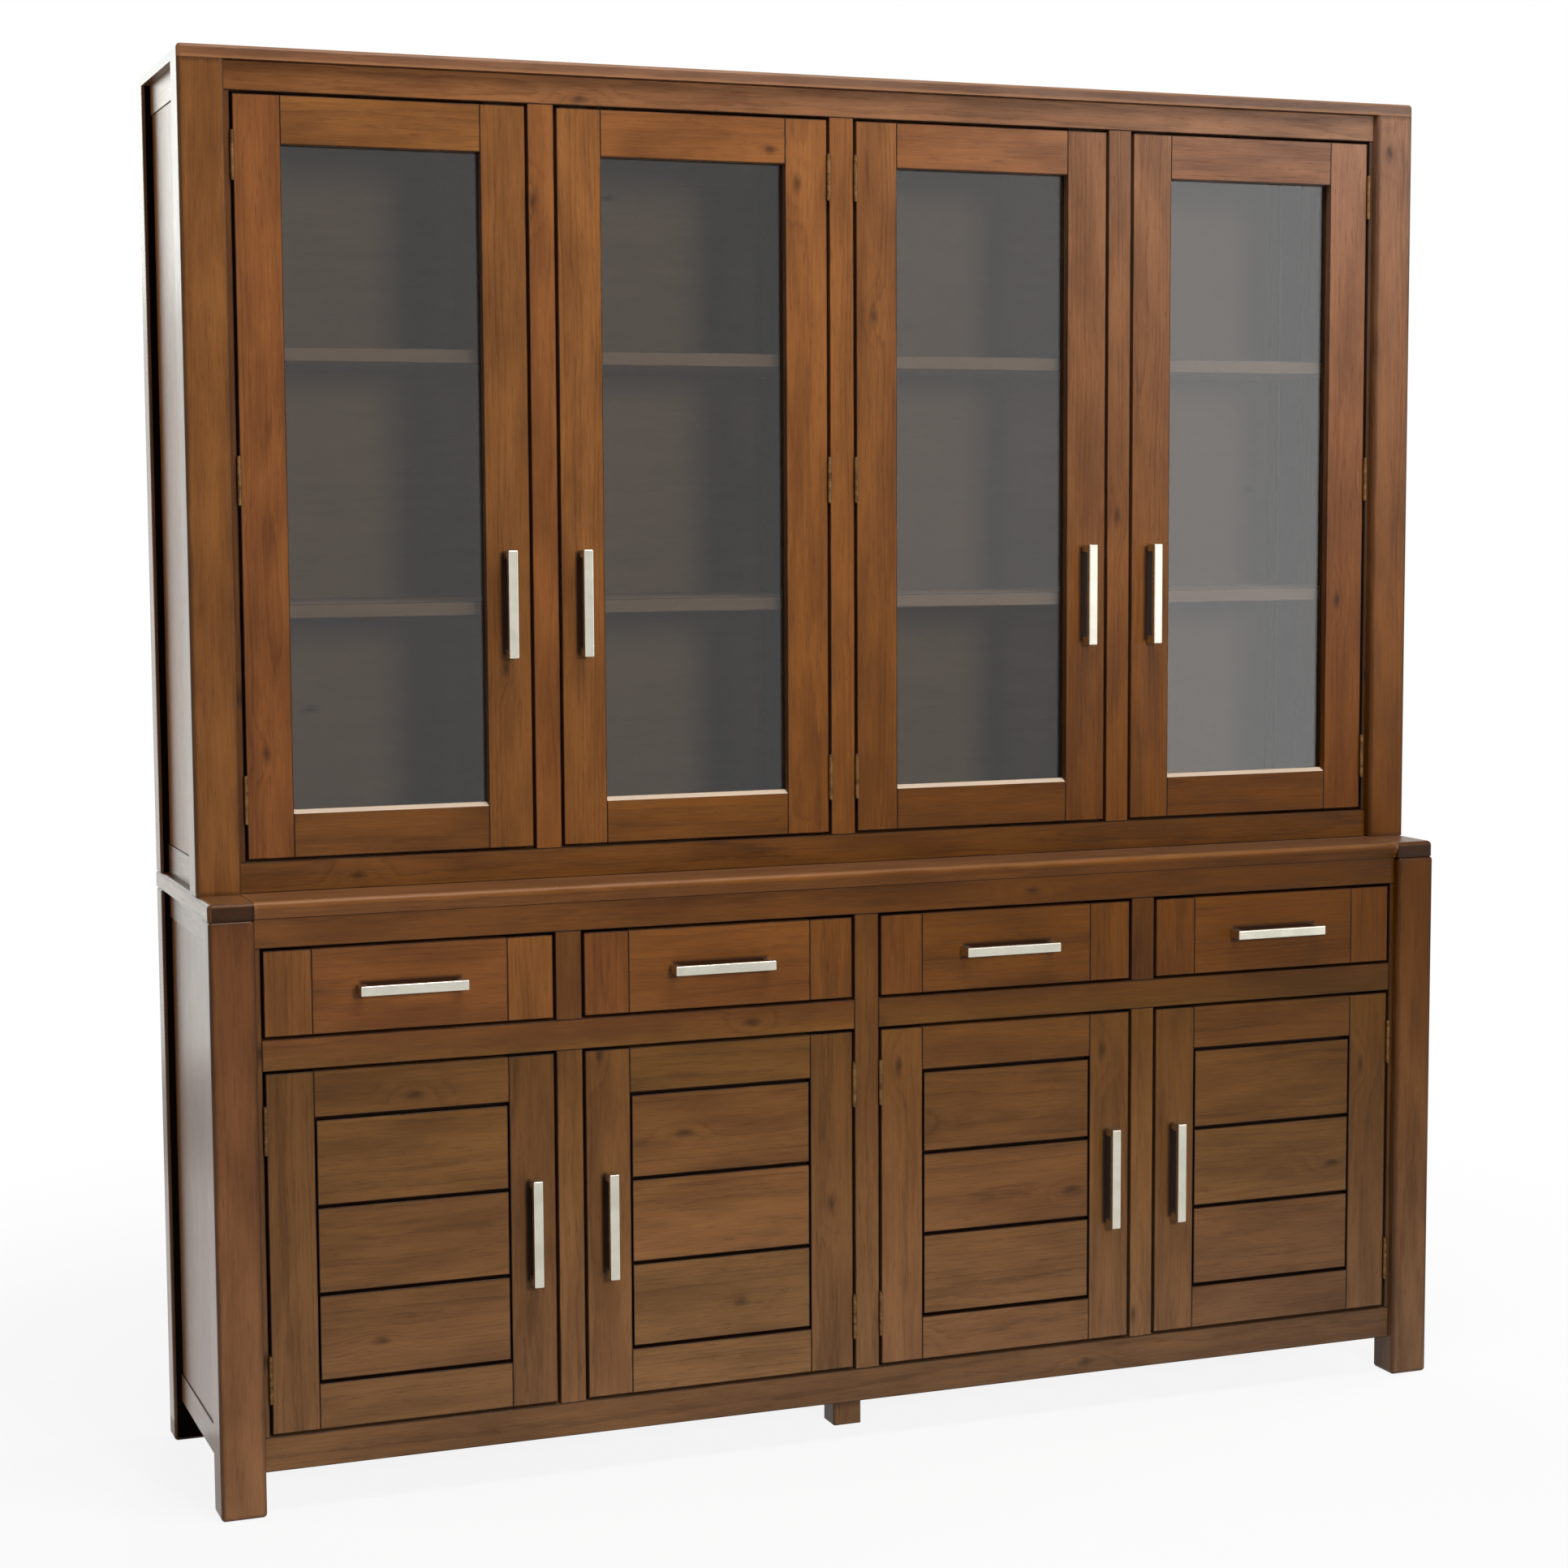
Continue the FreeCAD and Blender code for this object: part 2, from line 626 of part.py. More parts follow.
def hinge(name, bay, face, middle_height):
    """Butt hinge in the gap beside a door; returns the leaf on the door."""
    side = hinge_side(bay)
    axis_x = from_edge(bay, side, "door_gap / 2")
    axis_y = f"{face} - knuckle_radius"
    foot = f"{middle_height} - hinge_height / 2"
    knuckle = "(knuckle_length + knuckle_play)"
    bounds = [(f"{foot} + {step} * {knuckle}", f"{foot} + {step} * {knuckle} + knuckle_length") for step in range(3)]
    leaf_y = (f"{face} + leaf_setback", f"{face} + leaf_setback + leaf_depth")
    neck_y = (axis_y, leaf_y[0])
    full_z = (foot, f"{foot} + hinge_height")
    owners = {
        "frame": (("0", "leaf_thickness"), (bounds[0], bounds[2])),
        "door": (("door_gap - leaf_thickness", "door_gap"), (bounds[1],)),
    }
    leaves = {}
    for owner, (limits, knuckles) in owners.items():
        x = in_bay(bay, side, *limits)
        parts = [board(f"{name}_{owner}_plate", x, leaf_y, full_z)]
        for number, z in enumerate(knuckles, start=1):
            parts.append(board(f"{name}_{owner}_neck_{number}", x, neck_y, z))
            barrel = f"{name}_{owner}_barrel_{number}"
            parts.append(rod(barrel, "z", "knuckle_radius", "knuckle_length", axis_x, axis_y, z[0]))
        solid = joined(f"{name}_{owner}_solid", parts)
        bore_radius = "hinge_pin_radius + hinge_pin_fit"
        bore = rod(f"{name}_{owner}_bore", "z", bore_radius, "hinge_height", axis_x, axis_y, foot)
        leaves[owner] = cut(f"{name}_{owner}_leaf", solid, [bore])
    frame_leaves.append(leaves["frame"])
    length = "hinge_height + 2 * hinge_pin_cap"
    pin = [
        rod(f"{name}_rod", "z", "hinge_pin_radius", length, axis_x, axis_y, f"{foot} - hinge_pin_cap"),
        rod(f"{name}_foot", "z", "hinge_pin_head", "hinge_pin_cap", axis_x, axis_y, f"{foot} - hinge_pin_cap"),
        rod(f"{name}_cap", "z", "hinge_pin_head", "hinge_pin_cap", axis_x, axis_y, f"{foot} + hinge_height"),
    ]
    hinge_pins.append(joined(f"{name}_pin", pin))
    return leaves["door"]


catches = []


def catch(name, bay, face, rail_foot, stile):
    """Magnetic catch behind a rail; returns the strike plate on the door."""
    side = -hinge_side(bay)
    middle = f"door_gap + {stile} / 2"
    x = in_bay(bay, side, f"{middle} - catch_width / 2", f"{middle} + catch_width / 2")
    behind = f"{face} + frame_thickness"
    end = f"{behind} + catch_depth"
    door_back = f"{face} + door_thickness"
    strike_back = f"{door_back} + strike_thickness"
    case = board(f"{name}_case", x, (behind, end), (rail_foot, f"{rail_foot} + catch_height"))
    nose_y = (f"max({strike_back} + catch_play; {behind})", end)
    nose = board(f"{name}_nose", x, nose_y, (f"{rail_foot} - catch_drop", rail_foot))
    catches.append(joined(f"{name}_catch", [case, nose]))
    z = (f"{rail_foot} - door_gap - strike_height", f"{rail_foot} - door_gap")
    return board(f"{name}_strike", x, (door_back, strike_back), z)


def sill_rail(name, x, y, z):
    """Bottom rail of a glazed door, with a rabbet and a sill that slopes to the front."""
    body = doc.addObject("PartDesign::Body", name)
    block = body.newObject("PartDesign::AdditiveBox", name + "_block")
    bind(block, Length=span(x), Width=span(y), Height=span(z))
    rabbet = body.newObject("PartDesign::SubtractiveBox", name + "_rabbet")
    bind(rabbet, Length=span(x), Width="door_thickness - glass_setback", Height="rabbet_width")
    put(rabbet, "0", "glass_setback", f"{span(z)} - rabbet_width")
    slope(
        body,
        rabbet,
        name + "_sill",
        ("front", "top"),
        "sill_drop",
        "glass_setback - sill_flat",
        True,
    )
    put(body, x[0], y[0], z[0])
    return body


# Glazed doors: stiles and rails round a pane that beads hold from behind.
for bay in BAYS:
    name = f"glass_door_{bay + 1}"
    side = hinge_side(bay)
    y = ("hutch_face", "hutch_face + door_thickness")
    low = "glazed_low + door_gap"
    high = "glazed_high - door_gap"
    inner_x = in_bay(bay, -1, "door_gap + glazed_stile", "opening_width - door_gap - glazed_stile")
    inner_z = (f"{low} + glazed_rail", f"{high} - glazed_rail")
    pocket_x = (f"{inner_x[0]} - rabbet_width", f"{inner_x[1]} + rabbet_width")
    pocket_z = (f"{inner_z[0]} - rabbet_width", f"{inner_z[1]} + rabbet_width")
    glass_y = ("hutch_face + glass_setback", "hutch_face + glass_setback + glass_thickness")
    pocket_y = (glass_y[0], y[1])
    bead_y = (glass_y[1], y[1])
    grip_x = from_edge(bay, -side, "door_gap + glazed_stile / 2")
    grip_z = f"{low} + glazed_handle_rise"

    hinge_x = in_bay(bay, side, "door_gap", "door_gap + glazed_stile")
    lock_x = in_bay(bay, -side, "door_gap", "door_gap + glazed_stile")
    blanks = {
        "hinge_stile": board(name + "_hinge_blank", hinge_x, y, (low, high)),
        "lock_stile": board(name + "_lock_blank", lock_x, y, (low, high)),
        "high_rail": board(name + "_high_blank", inner_x, y, (inner_z[1], high)),
    }
    pieces = []
    for piece, blank in blanks.items():
        tools = [board(f"{name}_{piece}_rabbet", pocket_x, pocket_y, pocket_z)]
        if piece == "lock_stile":
            tools += screw_holes(name, grip_x, y[0], grip_z, True)
        pieces.append(cut(f"{name}_{piece}", blank, tools))
    pieces.append(sill_rail(name + "_low_rail", inner_x, y, (low, inner_z[0])))
    left_x = (pocket_x[0], inner_x[0])
    right_x = (inner_x[1], pocket_x[1])
    pieces.append(board(name + "_bead_left", left_x, bead_y, pocket_z))
    pieces.append(board(name + "_bead_right", right_x, bead_y, pocket_z))
    pieces.append(board(name + "_bead_low", inner_x, bead_y, (pocket_z[0], inner_z[0])))
    pieces.append(board(name + "_bead_high", inner_x, bead_y, (inner_z[1], pocket_z[1])))
    sub_part(name + "_frame", pieces)

    glass_x = (f"{pocket_x[0]} + glass_play", f"{pocket_x[1]} - glass_play")
    glass_z = (f"{pocket_z[0]} + glass_play", f"{pocket_z[1]} - glass_play")
    sub_part(name + "_glass", [board(name + "_pane", glass_x, glass_y, glass_z)])
    sub_part(name + "_handle", handle(name, grip_x, y[0], grip_z, True))

    heights = {
        "low": f"{low} + glazed_hinge_inset",
        "mid": f"({low} + {high}) / 2",
        "high": f"{high} - glazed_hinge_inset",
    }
    fittings = [hinge(f"{name}_hinge_{key}", bay, "hutch_face", height) for key, height in heights.items()]
    fittings.append(catch(name, bay, "hutch_face", "glazed_high", "glazed_stile"))
    sub_part(name + "_fittings", fittings)

# Cupboard doors: stiles and rails with three planks in grooves on a backing.
for bay in BAYS:
    name = f"cupboard_door_{bay + 1}"
    side = hinge_side(bay)
    y = ("base_face", "base_face + door_thickness")
    low = "door_low + door_gap"
    high = "door_high - door_gap"
    inner_x = in_bay(bay, -1, "door_gap + panel_stile", "opening_width - door_gap - panel_stile")
    inner_z = (f"{low} + panel_rail", f"{high} - panel_rail")
    grip_x = from_edge(bay, -side, "door_gap + panel_stile / 2")
    grip_z = f"({low} + {high}) / 2"

    hinge_x = in_bay(bay, side, "door_gap", "door_gap + panel_stile")
    lock_x = in_bay(bay, -side, "door_gap", "door_gap + panel_stile")
    lock = board(name + "_lock_blank", lock_x, y, (low, high))
    backing_y = ("base_face + plank_thickness", y[1])
    pieces = [
        board(name + "_hinge_stile", hinge_x, y, (low, high)),
        cut(name + "_lock_stile", lock, screw_holes(name, grip_x, y[0], grip_z, True)),
        board(name + "_low_rail", inner_x, y, (low, inner_z[0])),
        board(name + "_high_rail", inner_x, y, (inner_z[1], high)),
        board(name + "_backing", inner_x, backing_y, inner_z),
    ]
    plank_x = in_bay(
        bay, -1, "door_gap + panel_stile + stile_groove", "opening_width - door_gap - panel_stile - stile_groove"
    )
    plank_y = ("base_face", "base_face + plank_thickness")
    plank = f"(({span(inner_z)} - 4 * plank_groove) / 3)"
    for number in range(3):
        foot = f"{inner_z[0]} + plank_groove + {number} * ({plank} + plank_groove)"
        pieces.append(board(f"{name}_plank_{number + 1}", plank_x, plank_y, (foot, f"{foot} + {plank}")))
    sub_part(name + "_leaf", pieces)
    sub_part(name + "_handle", handle(name, grip_x, y[0], grip_z, True))

    heights = {"low": f"{low} + panel_hinge_inset", "high": f"{high} - panel_hinge_inset"}
    fittings = [hinge(f"{name}_hinge_{key}", bay, "base_face", height) for key, height in heights.items()]
    fittings.append(catch(name, bay, "base_face", "door_high", "panel_stile"))
    sub_part(name + "_fittings", fittings)

# Drawers: a front with upright-grained ends on a box that slides on runners.
for bay in BAYS:
    name = f"drawer_{bay + 1}"
    y = ("base_face", "base_face + door_thickness")
    front_z = ("drawer_low + door_gap", "drawer_high - door_gap")
    grip_x = bay_middle(bay)
    grip_z = "(drawer_low + drawer_high) / 2"
    centre_x = in_bay(bay, -1, "door_gap + panel_stile", "opening_width - door_gap - panel_stile")
    centre = board(name + "_front_blank", centre_x, y, front_z)
    pieces = [cut(name + "_front_centre", centre, screw_holes(name, grip_x, y[0], grip_z, False))]
    for side, hand in ((-1, "left"), (1, "right")):
        x = in_bay(bay, side, "door_gap", "door_gap + panel_stile")
        pieces.append(board(f"{name}_front_{hand}", x, y, front_z))
    sub_part(name + "_front", pieces)
    sub_part(name + "_handle", handle(name, grip_x, y[0], grip_z, False))

    side_y = (y[1], f"{y[1]} + drawer_length")
    side_z = ("drawer_low + drawer_lift", "drawer_high - drawer_drop")
    groove_z = (
        "runner_middle - runner_height / 2 - runner_play",
        "runner_middle + runner_height / 2 + runner_play",
    )
    pieces = []
    for side, hand in ((-1, "left"), (1, "right")):
        x = in_bay(bay, side, "drawer_side_play", "drawer_side_play + drawer_side")
        blank = board(f"{name}_side_blank_{hand}", x, side_y, side_z)
        groove_x = in_bay(bay, side, "drawer_side_play", "drawer_side_play + runner_depth")
        groove = board(f"{name}_groove_{hand}", groove_x, side_y, groove_z)
        pieces.append(cut(f"{name}_side_{hand}", blank, [groove]))
    inside = "drawer_side_play + drawer_side"
    inner_x = in_bay(bay, -1, inside, f"opening_width - {inside.replace(' + ', ' - ')}")
    back_y = (f"{side_y[1]} - drawer_back", side_y[1])
    pieces.append(board(name + "_box_back", inner_x, back_y, side_z))
    floor_z = (f"{side_z[0]} + drawer_bottom_rise", f"{side_z[0]} + drawer_bottom_rise + drawer_bottom")
    pieces.append(board(name + "_box_bottom", inner_x, (y[1], back_y[0]), floor_z))
    sub_part(name + "_box", pieces)

sub_part("hinge_frame_leaves", frame_leaves)
sub_part("hinge_pins", hinge_pins)
sub_part("magnetic_catches", catches)

doc.recompute()
faults = [item.Name for item in doc.Objects if "Invalid" in item.State or "Error" in item.State]
for item in sub_parts:
    if item.Shape.isNull() or not item.Shape.isValid():
        faults.append(item.Label)
if faults:
    raise RuntimeError("not built: " + ", ".join(faults))

os.makedirs("parts", exist_ok=True)
for item in sub_parts:
    item.Shape.exportStep(os.path.join("parts", item.Label + ".step"))
    print(item.Label, len(item.Shape.Solids), "solids,", round(item.Shape.Volume / 1000), "cm3")
print(len(sub_parts), "sub-parts")
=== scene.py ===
# %% [markdown]
# # A dresser with a glazed hutch
# The CAD model gives every board, pane, pull and hinge in its true place, in metres.
# This script dresses that model: it turns each wooden solid into an eased, grained board
# and gives glass, metal and plastic their own finish. Loading the model as a fixed frame
# is better than modelling again by eye, because the looks then fit the working parts.

# %% Load the frame
import json
import math
import random

import bmesh
import bpy
from mathutils import Matrix, Vector
from mathutils.kdtree import KDTree

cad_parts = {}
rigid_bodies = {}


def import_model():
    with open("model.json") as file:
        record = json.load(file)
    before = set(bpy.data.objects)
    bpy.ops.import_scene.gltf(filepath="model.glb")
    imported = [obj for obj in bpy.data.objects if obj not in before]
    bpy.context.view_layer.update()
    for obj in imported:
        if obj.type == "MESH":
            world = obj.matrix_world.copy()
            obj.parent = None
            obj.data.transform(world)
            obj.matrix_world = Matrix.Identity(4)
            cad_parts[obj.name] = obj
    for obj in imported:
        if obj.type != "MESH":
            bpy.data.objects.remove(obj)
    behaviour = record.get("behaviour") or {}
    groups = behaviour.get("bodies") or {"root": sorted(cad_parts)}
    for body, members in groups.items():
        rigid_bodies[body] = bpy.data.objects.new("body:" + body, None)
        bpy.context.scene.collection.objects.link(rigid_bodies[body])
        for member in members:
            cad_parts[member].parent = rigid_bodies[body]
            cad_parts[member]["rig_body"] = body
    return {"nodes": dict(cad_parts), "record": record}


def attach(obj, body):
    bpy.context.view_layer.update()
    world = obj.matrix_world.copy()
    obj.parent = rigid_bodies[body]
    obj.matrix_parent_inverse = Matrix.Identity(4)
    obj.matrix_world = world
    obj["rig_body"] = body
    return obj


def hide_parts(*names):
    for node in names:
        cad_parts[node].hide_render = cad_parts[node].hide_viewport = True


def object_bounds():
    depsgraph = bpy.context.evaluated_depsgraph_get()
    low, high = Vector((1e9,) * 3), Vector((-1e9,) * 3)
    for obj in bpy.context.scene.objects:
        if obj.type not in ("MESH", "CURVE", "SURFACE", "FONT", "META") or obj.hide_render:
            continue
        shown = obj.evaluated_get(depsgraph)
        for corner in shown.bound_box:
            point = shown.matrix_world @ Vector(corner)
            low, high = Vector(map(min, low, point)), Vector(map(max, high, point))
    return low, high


for leftover in list(bpy.data.objects):
    bpy.data.objects.remove(leftover)

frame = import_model()
nodes = frame["nodes"]
cad_box = [list(corner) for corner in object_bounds()]

# %% [markdown]
# ## Camera
# The picture was taken from the left, about halfway up the hutch, with a longish lens.
# A camera can be turned by hand until it looks right, or its place can be worked out from
# the straight edges in the picture. The numbers here come from the second way, so that
# edges of the model and of the picture fall on the same lines.

# %% Camera
FOCAL_PIXELS, PICTURE_PIXELS, SENSOR_MM = 3639.93, 1932, 36.0
CAMERA_PLACE = Vector((-1.64311, -4.14819, 1.37833))
CAMERA_YAW, CAMERA_PITCH, CAMERA_ROLL = -0.36603, -0.09326, -0.00512

camera_data = bpy.data.cameras.new("picture_camera")
camera_data.sensor_width = SENSOR_MM
camera_data.lens = FOCAL_PIXELS / PICTURE_PIXELS * SENSOR_MM
camera = bpy.data.objects.new("picture_camera", camera_data)
bpy.context.scene.collection.objects.link(camera)
bpy.context.scene.camera = camera


def aim_camera(place, yaw, pitch, roll):
    """Set the camera down at a place, turned by three angles in radians."""
    ahead = Vector(
        (-math.sin(yaw) * math.cos(pitch), math.cos(yaw) * math.cos(pitch), math.sin(pitch))
    )
    level = Vector((math.cos(yaw), math.sin(yaw), 0.0))
    above = level.cross(ahead)
    right = math.cos(roll) * level + math.sin(roll) * above
    up = math.cos(roll) * above - math.sin(roll) * level
    turn = Matrix((right, up, -ahead)).transposed()
    camera.matrix_world = Matrix.Translation(place) @ turn.to_4x4()


aim_camera(CAMERA_PLACE, CAMERA_YAW, CAMERA_PITCH, CAMERA_ROLL)
print("camera: lens", round(camera_data.lens, 2), "mm at", tuple(camera.location))

# %% [markdown]
# ## Nodes by name
# Materials are made of shader nodes. A few small helpers keep the cells below short: one
# adds a node and fills or links its inputs, the others do one sum, one noise or one mix. A
# group is made with named sockets, so that the same effect can be placed in several
# materials.


# %% Helpers that add and fill nodes
def feed(tree, socket, value):
    """Link a socket to another socket, or set it to a plain value."""
    if isinstance(value, bpy.types.NodeSocket):
        tree.links.new(value, socket)
    else:
        socket.default_value = value


def add_node(tree, kind, inputs=None, **settings):
    """Add a node; each input is given a value, or linked if it is given a socket."""
    node = tree.nodes.new(kind)
    for name, value in settings.items():
        setattr(node, name, value)
    for name, value in (inputs or {}).items():
        feed(tree, node.inputs[name], value)
    return node


def carried(tree, name, kind="Fac"):
    """A number, or with kind Vector three numbers, that ride on the mesh."""
    return add_node(tree, "ShaderNodeAttribute", attribute_name=name).outputs[kind]


def start_group(name, inputs, outputs):
    """A shader node group with named sockets."""
    tree = bpy.data.node_groups.new(name, "ShaderNodeTree")
    for label, kind, value in inputs:
        tree.interface.new_socket(label, in_out="INPUT", socket_type=kind).default_value = value
    for label in outputs:
        tree.interface.new_socket(label, in_out="OUTPUT", socket_type="NodeSocketFloat")
    return tree, tree.nodes.new("NodeGroupInput").outputs, tree.nodes.new("NodeGroupOutput").inputs


def plain_material(name):
    """A new material, its node tree and its shader."""
    material = bpy.data.materials.new(name)
    material.use_nodes = True
    return material, material.node_tree, material.node_tree.nodes["Principled BSDF"]


def colour(red, green, blue):
    """A colour given in the 0 to 255 steps of a screen, as Blender's linear colour (sRGB rule)."""
    steps = [step / 255 for step in (red, green, blue)]
    return tuple(s / 12.92 if s <= 0.04045 else ((s + 0.055) / 1.055) ** 2.4 for s in steps) + (1.0,)


print("helpers ready; mid grey is", round(colour(128, 128, 128)[0], 3))

# %% Helpers for sums, noise and mixing
MIX_AMOUNT, MIX_FIRST, MIX_SECOND, MIX_RESULT = 0, 6, 7, 2  # a Mix node's sockets for colours


def work_out(tree, operation, *values):
    """One sum on numbers or sockets."""
    node = add_node(tree, "ShaderNodeMath", dict(enumerate(values)), operation=operation)
    return node.outputs[0]


def work_out_vector(tree, operation, *values):
    """One sum on vectors."""
    node = add_node(tree, "ShaderNodeVectorMath", dict(enumerate(values)), operation=operation)
    return node.outputs["Value" if operation == "LENGTH" else "Vector"]


def rescale(tree, value, low, high, new_low=0.0, new_high=1.0, kind="SMOOTHSTEP"):
    """Spread a range of values over another one, clamped at both ends."""
    wanted = {"Value": value, "From Min": low, "From Max": high, "To Min": new_low, "To Max": new_high}
    node = add_node(tree, "ShaderNodeMapRange", wanted, interpolation_type=kind)
    return node.outputs["Result"]


def noise(tree, place, scale, detail=2.0, roughness=0.5):
    """A noise texture over a place that is stretched by a scale along each axis."""
    stretched = work_out_vector(tree, "MULTIPLY", place, scale)
    wanted = {"Vector": stretched, "Scale": 1.0, "Detail": detail, "Roughness": roughness}
    return add_node(tree, "ShaderNodeTexNoise", wanted).outputs


def blend(tree, amount, first, second):
    """Mix two colours."""
    node = add_node(tree, "ShaderNodeMix", data_type="RGBA")
    for socket, value in ((MIX_AMOUNT, amount), (MIX_FIRST, first), (MIX_SECOND, second)):
        feed(tree, node.inputs[socket], value)
    return node.outputs[MIX_RESULT]


print("sums, noise and mixing ready")

# %% [markdown]
# ## Grain
# A board is cut from a log, so its figure is a slice through growth rings. Painting arches
# on each face is possible, but faces then disagree at the edges. Here the rings are solid:
# each board carries its own place in the log, and the distance from the heart of the log
# gives the rings, bent by slow noise and round the small knots. The stain on this piece
# keeps them faint: soft clouds, short dark fibres and a few pin knots are what one sees.

# %% Place in the log
RING_WIDTH, RING_WANDER = 0.006, 0.03
CROSS_CUT, LENGTHWAYS = (1.0, 1.0, 0.0), (0.0, 0.0, 1.0)

grain, give, take = start_group(
    "wood_grain",
    [("Ring width", "NodeSocketFloat", RING_WIDTH), ("Wander", "NodeSocketFloat", RING_WANDER)],
    ["Rings", "Clouds", "Fibre", "Dashes", "Knots"],
)
in_board = carried(grain, "place", "Vector")
in_log = carried(grain, "log", "Vector")
heart = work_out_vector(grain, "MULTIPLY", in_log, CROSS_CUT)
along_log = work_out_vector(grain, "MULTIPLY", in_log, LENGTHWAYS)
spot = work_out_vector(grain, "ADD", in_board, along_log)
print("grain group started:", len(grain.nodes), "nodes")

# %% [markdown]
# ### Knots
# Single knots could be set by hand on each board. A cell texture on the broad face is
# quicker: about one cell in six holds a knot with a frayed rim, and the rings swerve there.

# %% Knots
KNOT_CELLS = (9.0, 4.0, 0.0)  # cells on a metre, across and along
CELLS_WITHOUT_KNOT = 0.84
KNOT_CORE, KNOT_RIM = 0.03, 0.12
FRAY_SCALE, FRAY = (160.0, 160.0, 60.0), 0.07
SWERVE_REACH, SWERVE = 0.3, 0.012

across, through, along = add_node(grain, "ShaderNodeSeparateXYZ", {"Vector": spot}).outputs
face_spot = add_node(grain, "ShaderNodeCombineXYZ", {"X": across, "Y": along}).outputs[0]
cells = {"Vector": work_out_vector(grain, "MULTIPLY", face_spot, KNOT_CELLS), "Scale": 1.0}
knot = add_node(grain, "ShaderNodeTexVoronoi", cells, voronoi_dimensions="2D").outputs
knot_draw = add_node(grain, "ShaderNodeSeparateColor", {"Color": knot["Color"]}).outputs[0]
knot_here = work_out(grain, "GREATER_THAN", knot_draw, CELLS_WITHOUT_KNOT)
fray = noise(grain, spot, FRAY_SCALE)["Fac"]
frayed = work_out(grain, "MULTIPLY_ADD", fray, FRAY, knot["Distance"])
knots = work_out(grain, "MULTIPLY", rescale(grain, frayed, KNOT_CORE, KNOT_RIM, 1.0, 0.0), knot_here)
swerve = rescale(grain, knot["Distance"], 0.0, SWERVE_REACH, SWERVE, 0.0)
swerve = work_out(grain, "MULTIPLY", swerve, knot_here)
print("knots in", round(100 * (1 - CELLS_WITHOUT_KNOT)), "of 100 cells")

# %% [markdown]
# ### Rings
# The distance from the heart, divided by the width of a ring, counts the rings: what is
# left after the point tells how far a ring has grown, pale at first and dark at its end.
# The whole number draws how strong each ring is, because no two years are alike.

# %% Rings
BEND_SCALE, MIDDLE_OF_NOISE = (6.0, 6.0, 1.8), (0.5, 0.5, 0.5)
RAGGED_SCALE, RAGGED = (180.0, 180.0, 14.0), 0.006
RING_GROWTH = ((0.12, 0.0), (0.62, 0.32), (0.9, 1.0))  # how far grown, how dark
BETWEEN_RINGS = (0.25, 0.25, 0.25, 1.0)

bend = work_out_vector(grain, "SUBTRACT", noise(grain, spot, BEND_SCALE)["Color"], MIDDLE_OF_NOISE)
wander = add_node(grain, "ShaderNodeCombineXYZ", {"X": give["Wander"], "Y": give["Wander"]}).outputs[0]
bend = work_out_vector(grain, "MULTIPLY", bend, wander)
from_heart = work_out_vector(grain, "MULTIPLY", in_board, CROSS_CUT)
from_heart = work_out_vector(grain, "ADD", from_heart, heart)
from_heart = work_out_vector(grain, "ADD", from_heart, bend)
radius = work_out(grain, "ADD", work_out_vector(grain, "LENGTH", from_heart), swerve)
ragged = work_out(grain, "MULTIPLY_ADD", noise(grain, spot, RAGGED_SCALE)["Fac"], RAGGED, radius)
count = work_out(grain, "DIVIDE", ragged, give["Ring width"])
ring = add_node(grain, "ShaderNodeValToRGB", {"Fac": work_out(grain, "FRACT", count)})
for grown, dark in RING_GROWTH:
    ring.color_ramp.elements.new(grown).color = (dark, dark, dark, 1.0)
for end in (ring.color_ramp.elements[0], ring.color_ramp.elements[-1]):
    end.color = BETWEEN_RINGS
whole = {"W": work_out(grain, "FLOOR", count)}
each_ring = add_node(grain, "ShaderNodeTexWhiteNoise", whole, noise_dimensions="1D").outputs["Value"]
rings = work_out(grain, "MULTIPLY", ring.outputs["Color"], each_ring)
print("rings:", len(ring.color_ramp.elements), "steps in each")

# %% [markdown]
# ### Clouds, fibres and dashes
# Stain soaks in unevenly, and pores catch it. Broad noise gives the clouds, and noise that
# is stretched along the board gives fibres and, where it is highest, short dark dashes.

# %% Clouds, fibres and dashes
CLOUD_SCALE, FIBRE_SCALE, DASH_SCALE = (26.0, 26.0, 6.0), (420.0, 420.0, 16.0), (420.0, 420.0, 34.0)
MOST_NOISE, HIGH_NOISE = (0.25, 0.75), (0.6, 0.74)

cloud_noise = noise(grain, spot, CLOUD_SCALE, detail=4.0, roughness=0.55)["Fac"]
fibre_noise = noise(grain, spot, FIBRE_SCALE, detail=4.0, roughness=0.65)["Fac"]
figure_parts = {
    "Rings": rings,
    "Clouds": rescale(grain, cloud_noise, *MOST_NOISE),
    "Fibre": rescale(grain, fibre_noise, *MOST_NOISE, kind="LINEAR"),
    "Dashes": rescale(grain, noise(grain, spot, DASH_SCALE)["Fac"], *HIGH_NOISE),
    "Knots": knots,
}
for label, value in figure_parts.items():
    grain.links.new(value, take[label])
print("grain group:", len(grain.nodes), "nodes, giving", ", ".join(figure_parts))

# %% [markdown]
# ## Edges, seams and end grain
# Boards are darker along their edges, the stain is rubbed thin on the edge of a top, and it
# soaks in deep where the fibres are cut across. A paint mask would need hand work on every
# board. Instead each board knows its own half sizes, so the shader can tell how far a point
# lies from the nearest edge: of the three distances to the faces, the middle one. A little
# noise breaks the line up. The grooves beside the planks get painted shade. The wood right
# behind a pull is nearly black with its shadow, and that shadow is painted: a front also
# knows where its pull is and carries the painted shadow round it.

# %% Rubbed edges, seams and painted groove shade
PATCH_SCALE, NARROWEST, WIDEST = (60.0, 60.0, 18.0), 0.55, 1.2
FULL_AT, GONE_AT = 0.2, 1.0  # shares of the edge's width

